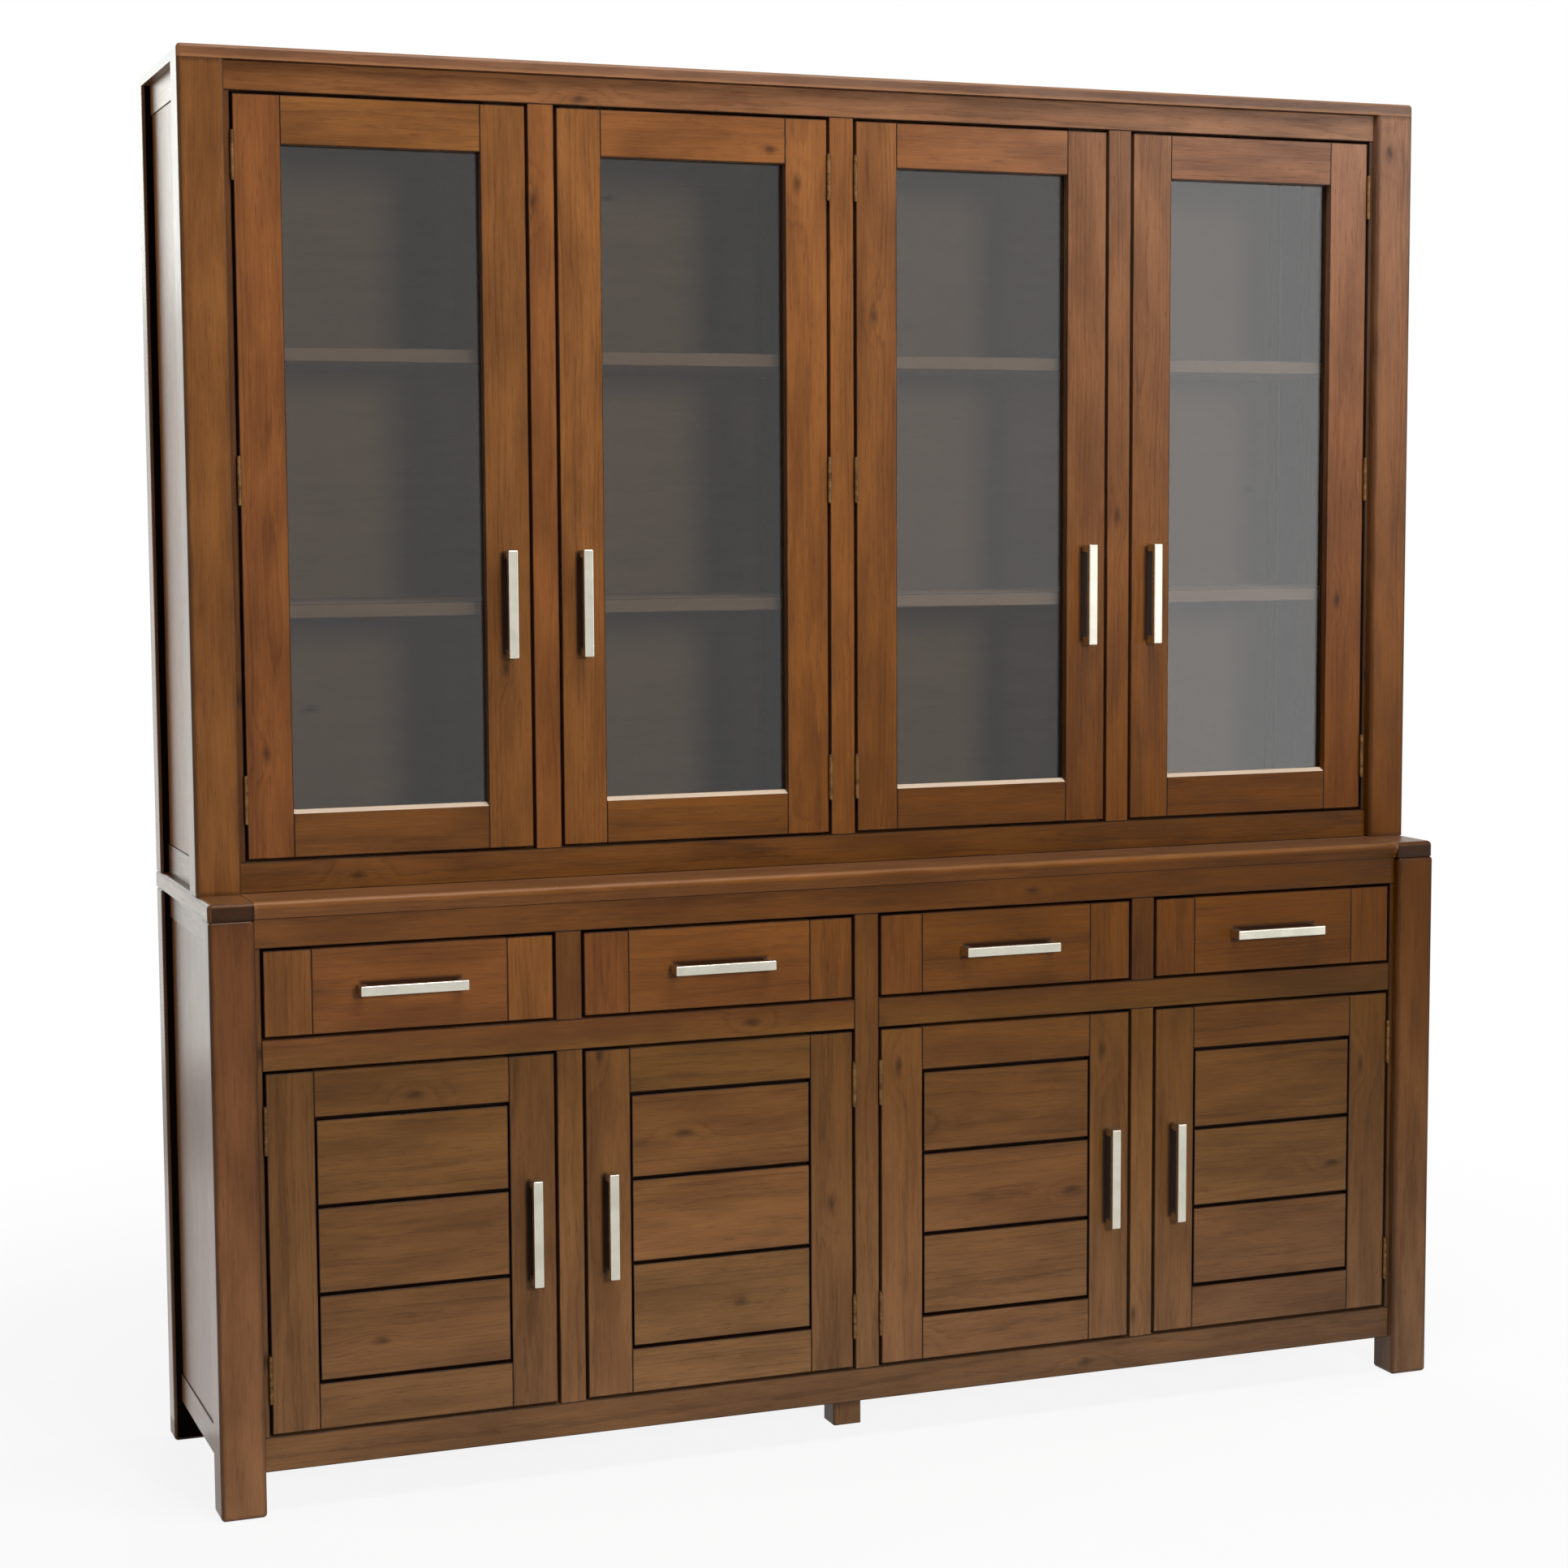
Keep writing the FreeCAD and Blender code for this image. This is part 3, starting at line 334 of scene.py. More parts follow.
edges_and_shade, give, take = start_group(
    "edges_seams_and_painted_shade",
    [("Reach", "NodeSocketFloat", 1.0)],
    ["Rubbed", "Seam", "End", "Tone", "Warmth", "Hue", "Pale sill", "Painted pull shadow"],
)
in_board = carried(edges_and_shade, "place", "Vector")
half_size = carried(edges_and_shade, "half", "Vector")
to_faces = work_out_vector(edges_and_shade, "SUBTRACT", half_size, work_out_vector(edges_and_shade, "ABSOLUTE", in_board))
a, b, c = add_node(edges_and_shade, "ShaderNodeSeparateXYZ", {"Vector": to_faces}).outputs
lower = work_out(edges_and_shade, "MINIMUM", a, b)
higher = work_out(edges_and_shade, "MAXIMUM", a, b)
to_edge = work_out(edges_and_shade, "MAXIMUM", lower, work_out(edges_and_shade, "MINIMUM", higher, c))
patches = noise(edges_and_shade, in_board, PATCH_SCALE, detail=3.0)["Fac"]
patches = rescale(edges_and_shade, patches, *MOST_NOISE, NARROWEST, WIDEST, "LINEAR")
width = work_out(edges_and_shade, "MULTIPLY", carried(edges_and_shade, "edge_width"), patches)
width = work_out(edges_and_shade, "MULTIPLY", width, give["Reach"])
edge = rescale(edges_and_shade, work_out(edges_and_shade, "DIVIDE", to_edge, width), FULL_AT, GONE_AT, 1.0, 0.0)
seam = work_out(edges_and_shade, "MULTIPLY", edge, carried(edges_and_shade, "seam"))
edges_and_shade.links.new(work_out(edges_and_shade, "MULTIPLY", edge, carried(edges_and_shade, "rub")), take["Rubbed"])
# Seams, and painted shade on the walls and floor of the grooves beside the planks.
edges_and_shade.links.new(work_out(edges_and_shade, "MAXIMUM", seam, carried(edges_and_shade, "groove_shade")), take["Seam"])
print("edge group started:", len(edges_and_shade.nodes), "nodes")

# %% Painted shadow behind the pulls, and what the boards carry
PULL_SHADOW_DARK, PULL_SHADOW_FADED = 0.0005, 0.007  # metres beyond the pull
PASSED_ON = {"End": "end_grain", "Tone": "tone", "Warmth": "warmth", "Hue": "hue", "Pale sill": "pale_sill"}

# Painted shadow: the front face is darkened round the place of its pull.
from_pull = work_out_vector(edges_and_shade, "SUBTRACT", in_board, carried(edges_and_shade, "pull", "Vector"))
from_pull = work_out_vector(edges_and_shade, "ABSOLUTE", from_pull)
beyond = work_out_vector(edges_and_shade, "SUBTRACT", from_pull, carried(edges_and_shade, "pull_half", "Vector"))
a, b, c = add_node(edges_and_shade, "ShaderNodeSeparateXYZ", {"Vector": beyond}).outputs
farthest = work_out(edges_and_shade, "MAXIMUM", work_out(edges_and_shade, "MAXIMUM", a, b), c)
edges_and_shade.links.new(rescale(edges_and_shade, farthest, PULL_SHADOW_DARK, PULL_SHADOW_FADED, 1.0, 0.0), take["Painted pull shadow"])
for label, name in PASSED_ON.items():
    edges_and_shade.links.new(carried(edges_and_shade, name), take[label])
print("edge group:", len(edges_and_shade.nodes), "nodes")

# %% [markdown]
# ## Stained wood
# The hutch is a warm orange brown, the base a little greyer, and the boards inside are
# plainer and matt. All are one kind of material with other values: clouds and rings mix a
# pale and a dark stain, each board has its own tone, and fibres, knots, seams and end grain
# are darker. A satin lacquer reflects little when seen square on, and a great deal at a flat
# angle, which is why the side looks nearly white. The faces of the rear posts that look into
# the recess of the side get a nearly black wood without lacquer, as painted shade.

# %% Stained wood
# Nearly black, for seams and knots and for painted shade in the grooves and behind the pulls.
SEAM_AND_SHADE, SILL = colour(24, 13, 8), colour(205, 184, 162)
MEAN_DARKNESS, CLOUD_SHARE, RING_SHARE = 0.3, 0.4, 0.25
FIBRE_LIGHT = 0.12
SMOOTHER, ROUGHER = 0.04, 0.06
DASH_RELIEF, KNOT_RELIEF = -0.6, 0.8
RELIEF_STRENGTH, RELIEF_DEPTH = 0.3, 0.0003


def stained_wood(name, pale, dark, rubbed, cut_end, figure_depth, gloss, shine):
    """A stained wood; gloss is the strength of the lacquer and shine its roughness."""
    material, tree, shader = plain_material(name)
    figure = add_node(tree, "ShaderNodeGroup", node_tree=grain).outputs
    edges = add_node(tree, "ShaderNodeGroup", node_tree=edges_and_shade).outputs

    clouded = CLOUD_SHARE * figure_depth
    depth = work_out(tree, "MULTIPLY_ADD", figure["Clouds"], clouded, MEAN_DARKNESS - clouded / 2)
    depth = work_out(tree, "MULTIPLY_ADD", figure["Rings"], RING_SHARE * figure_depth, depth)
    streak = FIBRE_LIGHT * figure_depth
    light = rescale(tree, figure["Fibre"], 0.0, 1.0, 1.0 - streak, 1.0 + streak, "LINEAR")
    turned = {
        "Color": blend(tree, depth, pale, dark),
        "Value": work_out(tree, "MULTIPLY", light, edges["Tone"]),
        "Saturation": edges["Warmth"],
        "Hue": edges["Hue"],
    }
    stain = add_node(tree, "ShaderNodeHueSaturation", turned).outputs[0]
    # Each layer: where it lies, how strong it is and which colour it has.
    layers = [
        (figure["Dashes"], 0.35 * figure_depth, dark),
        (figure["Knots"], 0.7, SEAM_AND_SHADE),
        (edges["End"], 0.85, cut_end),
        (edges["Rubbed"], 0.3, rubbed),
        # Seams, and painted shade in the grooves.
        (edges["Seam"], 0.9, SEAM_AND_SHADE),
        # The sloping sills under the panes are given a pale colour.
        (edges["Pale sill"], 0.85, SILL),
        # Painted shadow behind each pull.
        (edges["Painted pull shadow"], 0.88, SEAM_AND_SHADE),
    ]
    for mask, strength, laid_over in layers:
        stain = blend(tree, work_out(tree, "MULTIPLY", mask, strength), stain, laid_over)
    tree.links.new(stain, shader.inputs["Base Color"])

    satin = rescale(tree, figure["Fibre"], 0.0, 1.0, shine - SMOOTHER, shine + ROUGHER, "LINEAR")
    tree.links.new(satin, shader.inputs["Roughness"])
    relief = work_out(tree, "MULTIPLY_ADD", figure["Dashes"], DASH_RELIEF, figure["Fibre"])
    relief = work_out(tree, "MULTIPLY_ADD", figure["Knots"], KNOT_RELIEF, relief)
    raised = {"Height": relief, "Strength": RELIEF_STRENGTH * figure_depth, "Distance": RELIEF_DEPTH}
    bump = add_node(tree, "ShaderNodeBump", raised)
    tree.links.new(bump.outputs["Normal"], shader.inputs["Normal"])
    shader.inputs["Specular IOR Level"].default_value = gloss
    return material


print("colour of seams and knots:", [round(part, 4) for part in SEAM_AND_SHADE])

# %% Wood materials
woods = {
    "hutch_wood": stained_wood(
        "hutch_wood",
        pale=colour(140, 90, 50),
        dark=colour(78, 45, 22),
        rubbed=colour(166, 116, 74),
        cut_end=colour(36, 20, 11),
        figure_depth=1.3,
        gloss=0.12,
        shine=0.3,
    ),
    "base_wood": stained_wood(
        "base_wood",
        pale=colour(126, 83, 49),
        dark=colour(70, 42, 22),
        rubbed=colour(150, 106, 68),
        cut_end=colour(32, 18, 10),
        figure_depth=1.12,
        gloss=0.12,
        shine=0.3,
    ),
    "inner_wood": stained_wood(
        "inner_wood",
        pale=colour(122, 88, 60),
        dark=colour(80, 56, 37),
        rubbed=colour(124, 90, 60),
        cut_end=colour(56, 38, 26),
        figure_depth=0.4,
        gloss=0.08,
        shine=0.5,
    ),
}
# A nearly black wood without lacquer, used as painted shade.
rear_post_shade = stained_wood(
    "rear_post_wood",
    pale=colour(34, 25, 19),
    dark=colour(18, 13, 9),
    rubbed=colour(36, 27, 21),
    cut_end=colour(18, 13, 10),
    figure_depth=0.8,
    gloss=0.0,
    shine=0.9,
)
print("wood materials:", ", ".join(woods), "and", rear_post_shade.name)

# %% [markdown]
# ## From solids to boards
# A CAD node is a bag of triangles that may hold several boards that touch. Splitting by
# loose parts would glue touching boards together. The triangles of one solid follow each
# other, though, and a solid is finished when every edge has met its partner, so the list
# is cut each time no open edge is left.


# %% Split a node into its boards
def one_corner_each(mesh, near=1e-5):
    """For each corner of a mesh, the first of those that lie in the same place."""
    tree = KDTree(len(mesh.vertices))
    for vertex in mesh.vertices:
        tree.insert(vertex.co, vertex.index)
    tree.balance()
    same = {}
    for vertex in mesh.vertices:
        if vertex.index not in same:
            for _, index, _ in tree.find_range(vertex.co, near):
                same.setdefault(index, vertex.index)
    return same


def split_solids(mesh):
    """Lists of corner indices of the triangles of each solid, with doubled corners made one."""
    same = one_corner_each(mesh)
    solids, waiting = [[]], {}
    for polygon in mesh.polygons:
        corners = [same[index] for index in polygon.vertices]
        if len(set(corners)) == 3:
            solids[-1].append(corners)
            for first, second in zip(corners, corners[1:] + corners[:1]):
                if waiting.get((second, first)):
                    waiting[second, first] -= 1
                else:
                    waiting[first, second] = waiting.get((first, second), 0) + 1
        if solids[-1] and not any(waiting.values()):
            solids.append([])
            waiting = {}
    return [solid for solid in solids if solid]


print("boards in a cupboard door:", len(split_solids(nodes["cupboard_door_1_leaf"].data)))

# %% [markdown]
# ## Ease the edges
# No joiner leaves an edge knife sharp, and the thin line of light or shadow on an eased
# edge is what makes a joint look like wood. A bevel modifier would round every screw hole
# too, so the long outward edges are picked and bevelled board by board. Posts and tops come
# with their rounded edges from the CAD model.

# %% Make one board
FINE_EASE, ROUNDING_STEPS = 0.0008, 3
FLAT_ENOUGH = math.radians(0.5)
SHARP_TURN, SHORTEST_EASED = 0.6, 0.008  # radians, metres


def wants_easing(edge):
    """Whether an edge is sharp, points outward and is longer than those of a screw hole."""
    if not edge.is_manifold or not edge.is_convex:
        return False
    return edge.calc_face_angle() > SHARP_TURN and edge.calc_length() > SHORTEST_EASED


def make_board(mesh, corners, ease):
    """A board as a bmesh: flat faces joined up and long outward edges eased."""
    board = bmesh.new()
    used = sorted({index for triangle in corners for index in triangle})
    made = {index: board.verts.new(mesh.vertices[index].co) for index in used}
    for triangle in corners:
        if not board.faces.get([made[index] for index in triangle]):
            board.faces.new([made[index] for index in triangle])
    bmesh.ops.dissolve_limit(board, angle_limit=FLAT_ENOUGH, verts=board.verts, edges=board.edges)
    long_edges = [edge for edge in board.edges if wants_easing(edge)]
    if ease and long_edges:
        bmesh.ops.bevel(
            board,
            geom=long_edges,
            offset=ease,
            offset_type="OFFSET",
            segments=ROUNDING_STEPS,
            profile=0.5,
            affect="EDGES",
            clamp_overlap=True,
        )
    return board


trial = make_board(nodes["shelves"].data, split_solids(nodes["shelves"].data)[0], FINE_EASE)
print("one shelf:", len(trial.faces), "faces")
trial.free()

# %% [markdown]
# ## How the stain varies over the piece
# The stain of this piece isn't even, and painted light and shade lie over it. The front is
# darker to the right. It is darker where hutch and base meet and paler towards the head of
# the hutch, near the floor and on the worktop's top face: painted light and shade. A painted
# sheen pales and greys the upper right of the hutch, the lower half of the base is a little
# yellower, and single doors and drawers have a tone of their own. A map of this could be
# painted by hand for each board. Short sums on the place of a point do the same for all of
# them, and neighbours then fit each other.

# %% Marks on the piece
WORKTOP = max(v.co.z for v in nodes["base_top"].data.vertices)
post_heights = [v.co.z for v in nodes["hutch_posts"].data.vertices]
HUTCH_FOOT, HUTCH_HEAD = min(post_heights), max(post_heights)
UNDER_DRAWERS, OVER_LOW_RAILS, A_HAIR = 0.62, 0.97, 0.001
SHEEN_GROWS_TO = 0.7  # metres to the right of the middle
PIECE_TONE = {
    "glass_door_1_frame": 0.85,
    "glass_door_3_frame": 0.8,
    "glass_door_4_frame": 0.85,
    "hutch_posts": 0.9,
    "hutch_top": 0.75,
    "drawer_1_front": 1.15,
    "drawer_2_front": 0.93,
    "drawer_3_front": 0.78,
    # Drawer 4 is darker partly as painted shade under the worktop.
    "drawer_4_front": 0.84,
    "base_posts": 1.2,
}


def hutch_height(place):
    """0 at the foot of the hutch and 1 at its head."""
    return (place.z - HUTCH_FOOT) / (HUTCH_HEAD - HUTCH_FOOT)


def painted_sheen(place):
    """How much painted sheen, a painted reflection that pales and greys the stain, lies on the hutch at
    a place: only towards its upper right corner.
    """
    return min(max(place.x, 0.0), SHEEN_GROWS_TO) * max(2.0 * hutch_height(place) - 1.0, 0.0)


print("worktop at", round(WORKTOP, 3), "m, hutch from", round(HUTCH_FOOT, 3), "to", round(HUTCH_HEAD, 3))

# %% How pale the stain is, with painted light and shade
# Each level is for the middle of the piece, and each loss for a metre to the right of it.
TOP_LEVEL, TOP_LOSS, TOP_EDGE_LEVEL, TOP_EDGE_LOSS = 0.77, 0.17, 0.86, 0.1
BASE_LEVEL, BASE_LOSS, BASE_BOW, DRAWER_SHARE = 0.88, 0.13, 0.25, 0.95
SHARE_AT_FLOOR, LOSS_UPWARD, LEAST_SHARE = 1.24, 0.8, 0.65
RAIL_LEVEL, RAIL_LOSS, RAIL_RIGHT_LOSS = 0.59, 0.17, 0.09
HUTCH_TOP_LEVEL, HUTCH_TOP_LOSS = 0.8, 0.1
HUTCH_LEVEL, HUTCH_RISE, HUTCH_LOSS, HUTCH_TURN, SHEEN_GAIN = 0.66, 0.2, 0.17, 1.1, 0.25


def stain_and_light_level(node, slot, place):
    """How pale the stain is at a place, with painted light and shade in it: 1 is as the wood's own
    colours say.
    """
    x, z = place.x, place.z
    if node == "base_top":
        # The worktop's top face is paler than its front edge: painted light from above.
        edge_level = 1.0 if z > WORKTOP - A_HAIR else TOP_EDGE_LEVEL - TOP_EDGE_LOSS * x
        return (TOP_LEVEL - TOP_LOSS * x) * edge_level
    if node == "hutch_top":
        return HUTCH_TOP_LEVEL - HUTCH_TOP_LOSS * x
    if slot == "base_wood":
        level = BASE_LEVEL - BASE_LOSS * x - BASE_BOW * x * x
        if node.startswith("drawer"):
            return DRAWER_SHARE * level
        # Paler near the floor and darker upward: painted light and shade.
        if node.endswith(("_leaf", "_posts")) or z < UNDER_DRAWERS:
            return level * max(SHARE_AT_FLOOR - LOSS_UPWARD * z, LEAST_SHARE)
        return RAIL_LEVEL - RAIL_LOSS * x - RAIL_RIGHT_LOSS * max(x, 0.0)
    if slot == "hutch_wood":
        # The hutch pales towards its head: painted light from above.
        height = hutch_height(place)
        loss = HUTCH_LOSS * x * (1.0 - HUTCH_TURN * height)
        # Painted sheen pales the upper right.
        return HUTCH_LEVEL + HUTCH_RISE * height - loss + SHEEN_GAIN * painted_sheen(place)
    return 1.0


low_left, low_right = (Vector((corner[0], 0.0, HUTCH_FOOT)) for corner in cad_box)
levels = [round(stain_and_light_level("hutch_posts", "hutch_wood", place), 2) for place in (low_left, low_right)]
print("stain at the foot of the hutch, left and right:", levels)

# %% How warm the stain is, with the painted sheen, and its hue
TOP_WARMTH, TOP_COOLING = 0.96, 0.03
FLOOR_WARMTH, WARMING_UPWARD, WARMEST = 0.905, 0.28, 1.11
WARMING_RIGHT, EVEN_HEIGHT = 0.12, 0.25
HUTCH_TOP_WARMTH, HUTCH_TOP_SHEEN_COOLING = 0.92, 0.25
LOW_RAIL_WARMTH, LOW_RAIL_WARMING = 1.08, 0.06
HUTCH_WARMTH, SHEEN_COOLING, INNER_WARMTH = 1.02, 0.3, 0.8
YELLOWER, REDDER, AS_IT_IS = 0.507, 0.498, 0.5


def stain_and_sheen_warmth(node, slot, place):
    """How strong the colour of the stain is at a place: warmer on the drawers and to the right, greyer
    under the painted sheen.
    """
    x, z = place.x, place.z
    if node == "base_top" and z > WORKTOP - A_HAIR:
        return TOP_WARMTH - TOP_COOLING * x
    if node == "hutch_top":
        # The hutch top greys to the right: painted sheen.
        return HUTCH_TOP_WARMTH - HUTCH_TOP_SHEEN_COOLING * max(x, 0.0)
    if slot == "base_wood":
        upward = min(FLOOR_WARMTH + WARMING_UPWARD * z, WARMEST)
        return upward + WARMING_RIGHT * x * (z - EVEN_HEIGHT)
    if slot == "hutch_wood":
        if z < OVER_LOW_RAILS:
            return LOW_RAIL_WARMTH + LOW_RAIL_WARMING * x
        # Painted sheen greys the upper right.
        return HUTCH_WARMTH - SHEEN_COOLING * painted_sheen(place)
    return INNER_WARMTH


def stain_hue(slot, place):
    """A turn of the colour: a little yellower on the lower half of the base."""
    if slot == "base_wood":
        return YELLOWER if place.z < UNDER_DRAWERS else REDDER
    return AS_IT_IS


warmths = [round(stain_and_sheen_warmth("hutch_posts", "hutch_wood", place), 2) for place in (low_left, low_right)]
print("warmth at the foot of the hutch, left and right:", warmths)

# %% [markdown]
# ## Where the pulls sit
# The shade behind a pull lies between its two feet, on the front face of the board that
# carries it. It could be drawn board by board. Reading the pull's own mesh is safer, because
# the shade then follows the pull.

# %% Find the pull on a board
FOOT_OF_PULL, FACE_DEPTH, FAR_AWAY = 0.008, 0.0005, 9.0


def pull_on(node, body, lows, highs):
    """The middle of the pull on this board's front and half its size between the feet, or far away."""
    handle = f"{body}_handle"
    if handle in nodes and node.endswith(("_frame", "_leaf", "_front")):
        spans = [[v.co[k] for v in nodes[handle].data.vertices] for k in range(3)]
        centre = [(min(span) + max(span)) / 2 for span in spans]
        half = [(max(span) - min(span)) / 2 for span in spans]
        if all(lows[k] < centre[k] < highs[k] for k in (0, 2)):
            half[half.index(max(half[0], half[2]))] -= FOOT_OF_PULL
            return (centre[0], lows[1], centre[2]), (half[0], FACE_DEPTH, half[2])
    return (FAR_AWAY, FAR_AWAY, FAR_AWAY), (0.0, 0.0, 0.0)


print("pulls:", sum(name.endswith("_handle") for name in nodes))

# %% [markdown]
# ## Give each board its place in the log
# The grain and edge groups read numbers that ride on the mesh: where a point lies in its
# board (across, through, along), how big the board is, which part of the log it came from,
# its tone, warmth and hue, how wide its dark or rubbed edges are, and where a pull sits on
# it. The grain runs along a board's longest side, as in all sound joinery. Chance is drawn
# from the names of the nodes, so that every run gives the same boards.

# %% Measure and draw a board
LOG_SIDEWAYS, LOG_DEPTH, LOG_LENGTH = (-0.03, 0.03), (0.015, 0.11), (0.0, 40.0)
TONE_SPREAD, DARKEST, PALEST = 0.06, 0.87, 1.14
HUE_SPREAD, HUE_LIMIT = 0.002, 0.004
# The narrow strips of the front frames, between post and door, are darkened as painted shade.
STRIP_DEPTH, STRIP_SHADE = 0.012, {"base_wood": 0.7, "hutch_wood": 0.42}
LOW_DOOR_RAIL_TONE, LOW_RAIL_TONE, UPRIGHT_SHADE_LOSS = 0.85, 0.64, 0.35


def measure(board):
    """A board's lowest and highest corner, sides, middle, and its axes across, through and along."""
    lows = [min(v.co[k] for v in board.verts) for k in range(3)]
    highs = [max(v.co[k] for v in board.verts) for k in range(3)]
    sides = [high - low for low, high in zip(lows, highs)]
    middle = [(low + high) / 2 for low, high in zip(lows, highs)]
    through, across, along = sorted(range(3), key=lambda k: sides[k])
    return lows, highs, sides, middle, (across, through, along)


def draw_board(node, index):
    """A board's place in the log, its tone and its turn of the hue."""
    draw = random.Random(f"{node} {index}")
    log = (draw.uniform(*LOG_SIDEWAYS), draw.uniform(*LOG_DEPTH), draw.uniform(*LOG_LENGTH))
    tone = min(max(draw.gauss(1.0, TONE_SPREAD), DARKEST), PALEST)
    hue = min(max(draw.gauss(0.0, HUE_SPREAD), -HUE_LIMIT), HUE_LIMIT)
    return log, tone, hue


def fit_tone(tone, node, body, slot, sides, middle):
    """The drawn tone, changed for the boards that are paler or darker on this piece, and darkened as
    painted shade on the narrow strips beside the doors.
    """
    tone *= PIECE_TONE.get(node, 1.0)
    if slot == "hutch_wood" and middle[2] < OVER_LOW_RAILS:
        tone *= LOW_DOOR_RAIL_TONE if body.startswith("glass_door") else LOW_RAIL_TONE
    # Painted shade on the narrow strips between post and door.
    if node.endswith("front_frame") and min(sides) < STRIP_DEPTH:
        tone *= STRIP_SHADE[slot]
    # Painted shade: the uprights of the hutch's front frame darken to the right.
    if node == "hutch_front_frame" and sides[2] == max(sides):
        tone *= 1.0 - UPRIGHT_SHADE_LOSS * max(middle[0], 0.0)
    return tone


print("first board of the worktop:", [round(number, 3) for number in draw_board("base_top", 0)[0]])

# %% [markdown]
# ### Edges and faces
# The tops are rubbed along their edges, and all other boards have dark seams. A face can be
# end grain, one of the pale sills under the panes, or a groove wall that gets painted shade.
# Marking these by hand would be lost at the next change of the model, so each face is
# judged by where it looks and where it lies.

# %% Judge edges and faces
FINE_EDGE = 0.0022
ROUNDED = {"base_posts": 0.009, "hutch_posts": 0.009, "base_top": 0.0075, "hutch_top": 0.0065}
ROUNDED_SEAM, SIDE_SEAM, PLAIN_SEAM = 0.55, 0.3, 0.95
BASE_FACE = min(v.co.y for v in nodes["cupboard_door_1_leaf"].data.vertices)
SQUARE_ON, UPWARD, FORWARD, SIDEWAYS = 0.95, 0.8, 0.5, 0.3
LEAF_MARGIN, GROOVE_DEPTH, REAR_POST_FROM = 0.004, 0.01, 0.1


def edge_finish(node, along):
    """How much a board's edges are rubbed, and how dark its seams are."""
    if node.endswith("_top") and along == 0:
        return 1.0, 0.0
    if node in ROUNDED:
        return 0.0, ROUNDED_SEAM
    return 0.0, SIDE_SEAM if node.endswith("side_frames") else PLAIN_SEAM


def judge_face(face, node, body, along, lows, outer):
    """Whether a face is end grain, a sill, or in a groove that gets painted shade; outer is the node's
    span in x and z.
    """
    normal, centre = face.normal, face.calc_center_median()
    inside = all(
        low + LEAF_MARGIN < centre[k] < high - LEAF_MARGIN for k, (low, high) in zip((0, 2), outer)
    )
    sunk = normal.y < -FORWARD and lows[1] > BASE_FACE + GROOVE_DEPTH
    return {
        "end_grain": float(abs(normal[along]) > SQUARE_ON),
        "pale_sill": float(body.startswith("glass_door") and normal.y < -SIDEWAYS and normal.z > UPWARD),
        # The walls of the grooves and the sunk faces between them get painted shade.
        "groove_shade": float(node.endswith("_leaf") and inside and (abs(normal.y) < SIDEWAYS or sunk)),
    }


print("edges and seams: worktop", edge_finish("base_top", 0), "door leaf", edge_finish("leaf", 2))

# %% [markdown]
# ### Put the boards together
# Each wooden CAD node is replaced by one mesh of eased boards. It rides on the same body, so
# doors swing and drawers slide with it. Weighted normals keep the broad faces flat beside
# their eased edges.

# %% Dress the wooden nodes
VECTORS = ("place", "half", "log", "pull", "pull_half")
NUMBERS = ("tone", "warmth", "hue", "edge_width", "rub", "seam")
MARKS = ("end_grain", "pale_sill", "groove_shade")
SHARP_ANGLE = math.radians(28)


def gather_boards(node, body, slot, ease, edge_width):
    """Points, faces and painted shade index of a node's boards, with the numbers of points and marks of
    faces.
    """
    points, faces, painted_shade_index = [], [], []
    numbers = {name: [] for name in VECTORS + NUMBERS}
    marks = {name: [] for name in MARKS}
    mesh = nodes[node].data
    spans = [[v.co[k] for v in mesh.vertices] for k in (0, 2)]
    outer = [(min(span), max(span)) for span in spans]
    for index, corners in enumerate(split_solids(mesh)):
        board = make_board(mesh, corners, ease)
        lows, highs, sides, middle, axes = measure(board)
        log, tone, hue = draw_board(node, index)
        tone = fit_tone(tone, node, body, slot, sides, middle)
        rub, seam = edge_finish(node, axes[2])
        pull, pull_half = pull_on(node, body, lows, highs)
        rear_post = node.endswith("_posts") and lows[1] > REAR_POST_FROM
        same_all_over = {
            "half": [sides[k] / 2 for k in axes],
            "log": log,
            "pull": [pull[k] - middle[k] for k in axes],
            "pull_half": [pull_half[k] for k in axes],
            "edge_width": [edge_width],
            "rub": [rub],
            "seam": [seam],
        }
        first = len(points)
        for v in board.verts:
            points.append(v.co.copy())
            numbers["place"] += [v.co[k] - middle[k] for k in axes]
            numbers["tone"].append(tone * stain_and_light_level(node, slot, v.co))
            numbers["warmth"].append(stain_and_sheen_warmth(node, slot, v.co))
            numbers["hue"].append(stain_hue(slot, v.co) + hue)
            for name, values in same_all_over.items():
                numbers[name] += values
        board.verts.index_update()
        for face in board.faces:
            faces.append([first + v.index for v in face.verts])
            # Forward faces of the rear posts get the nearly black wood: painted shade in the recess of
            # the side.
            painted_shade_index.append(int(rear_post and face.normal.y < -SQUARE_ON))
            for name, mark in judge_face(face, node, body, axes[2], lows, outer).items():
                marks[name].append(mark)
        board.free()
    return points, faces, painted_shade_index, numbers, marks


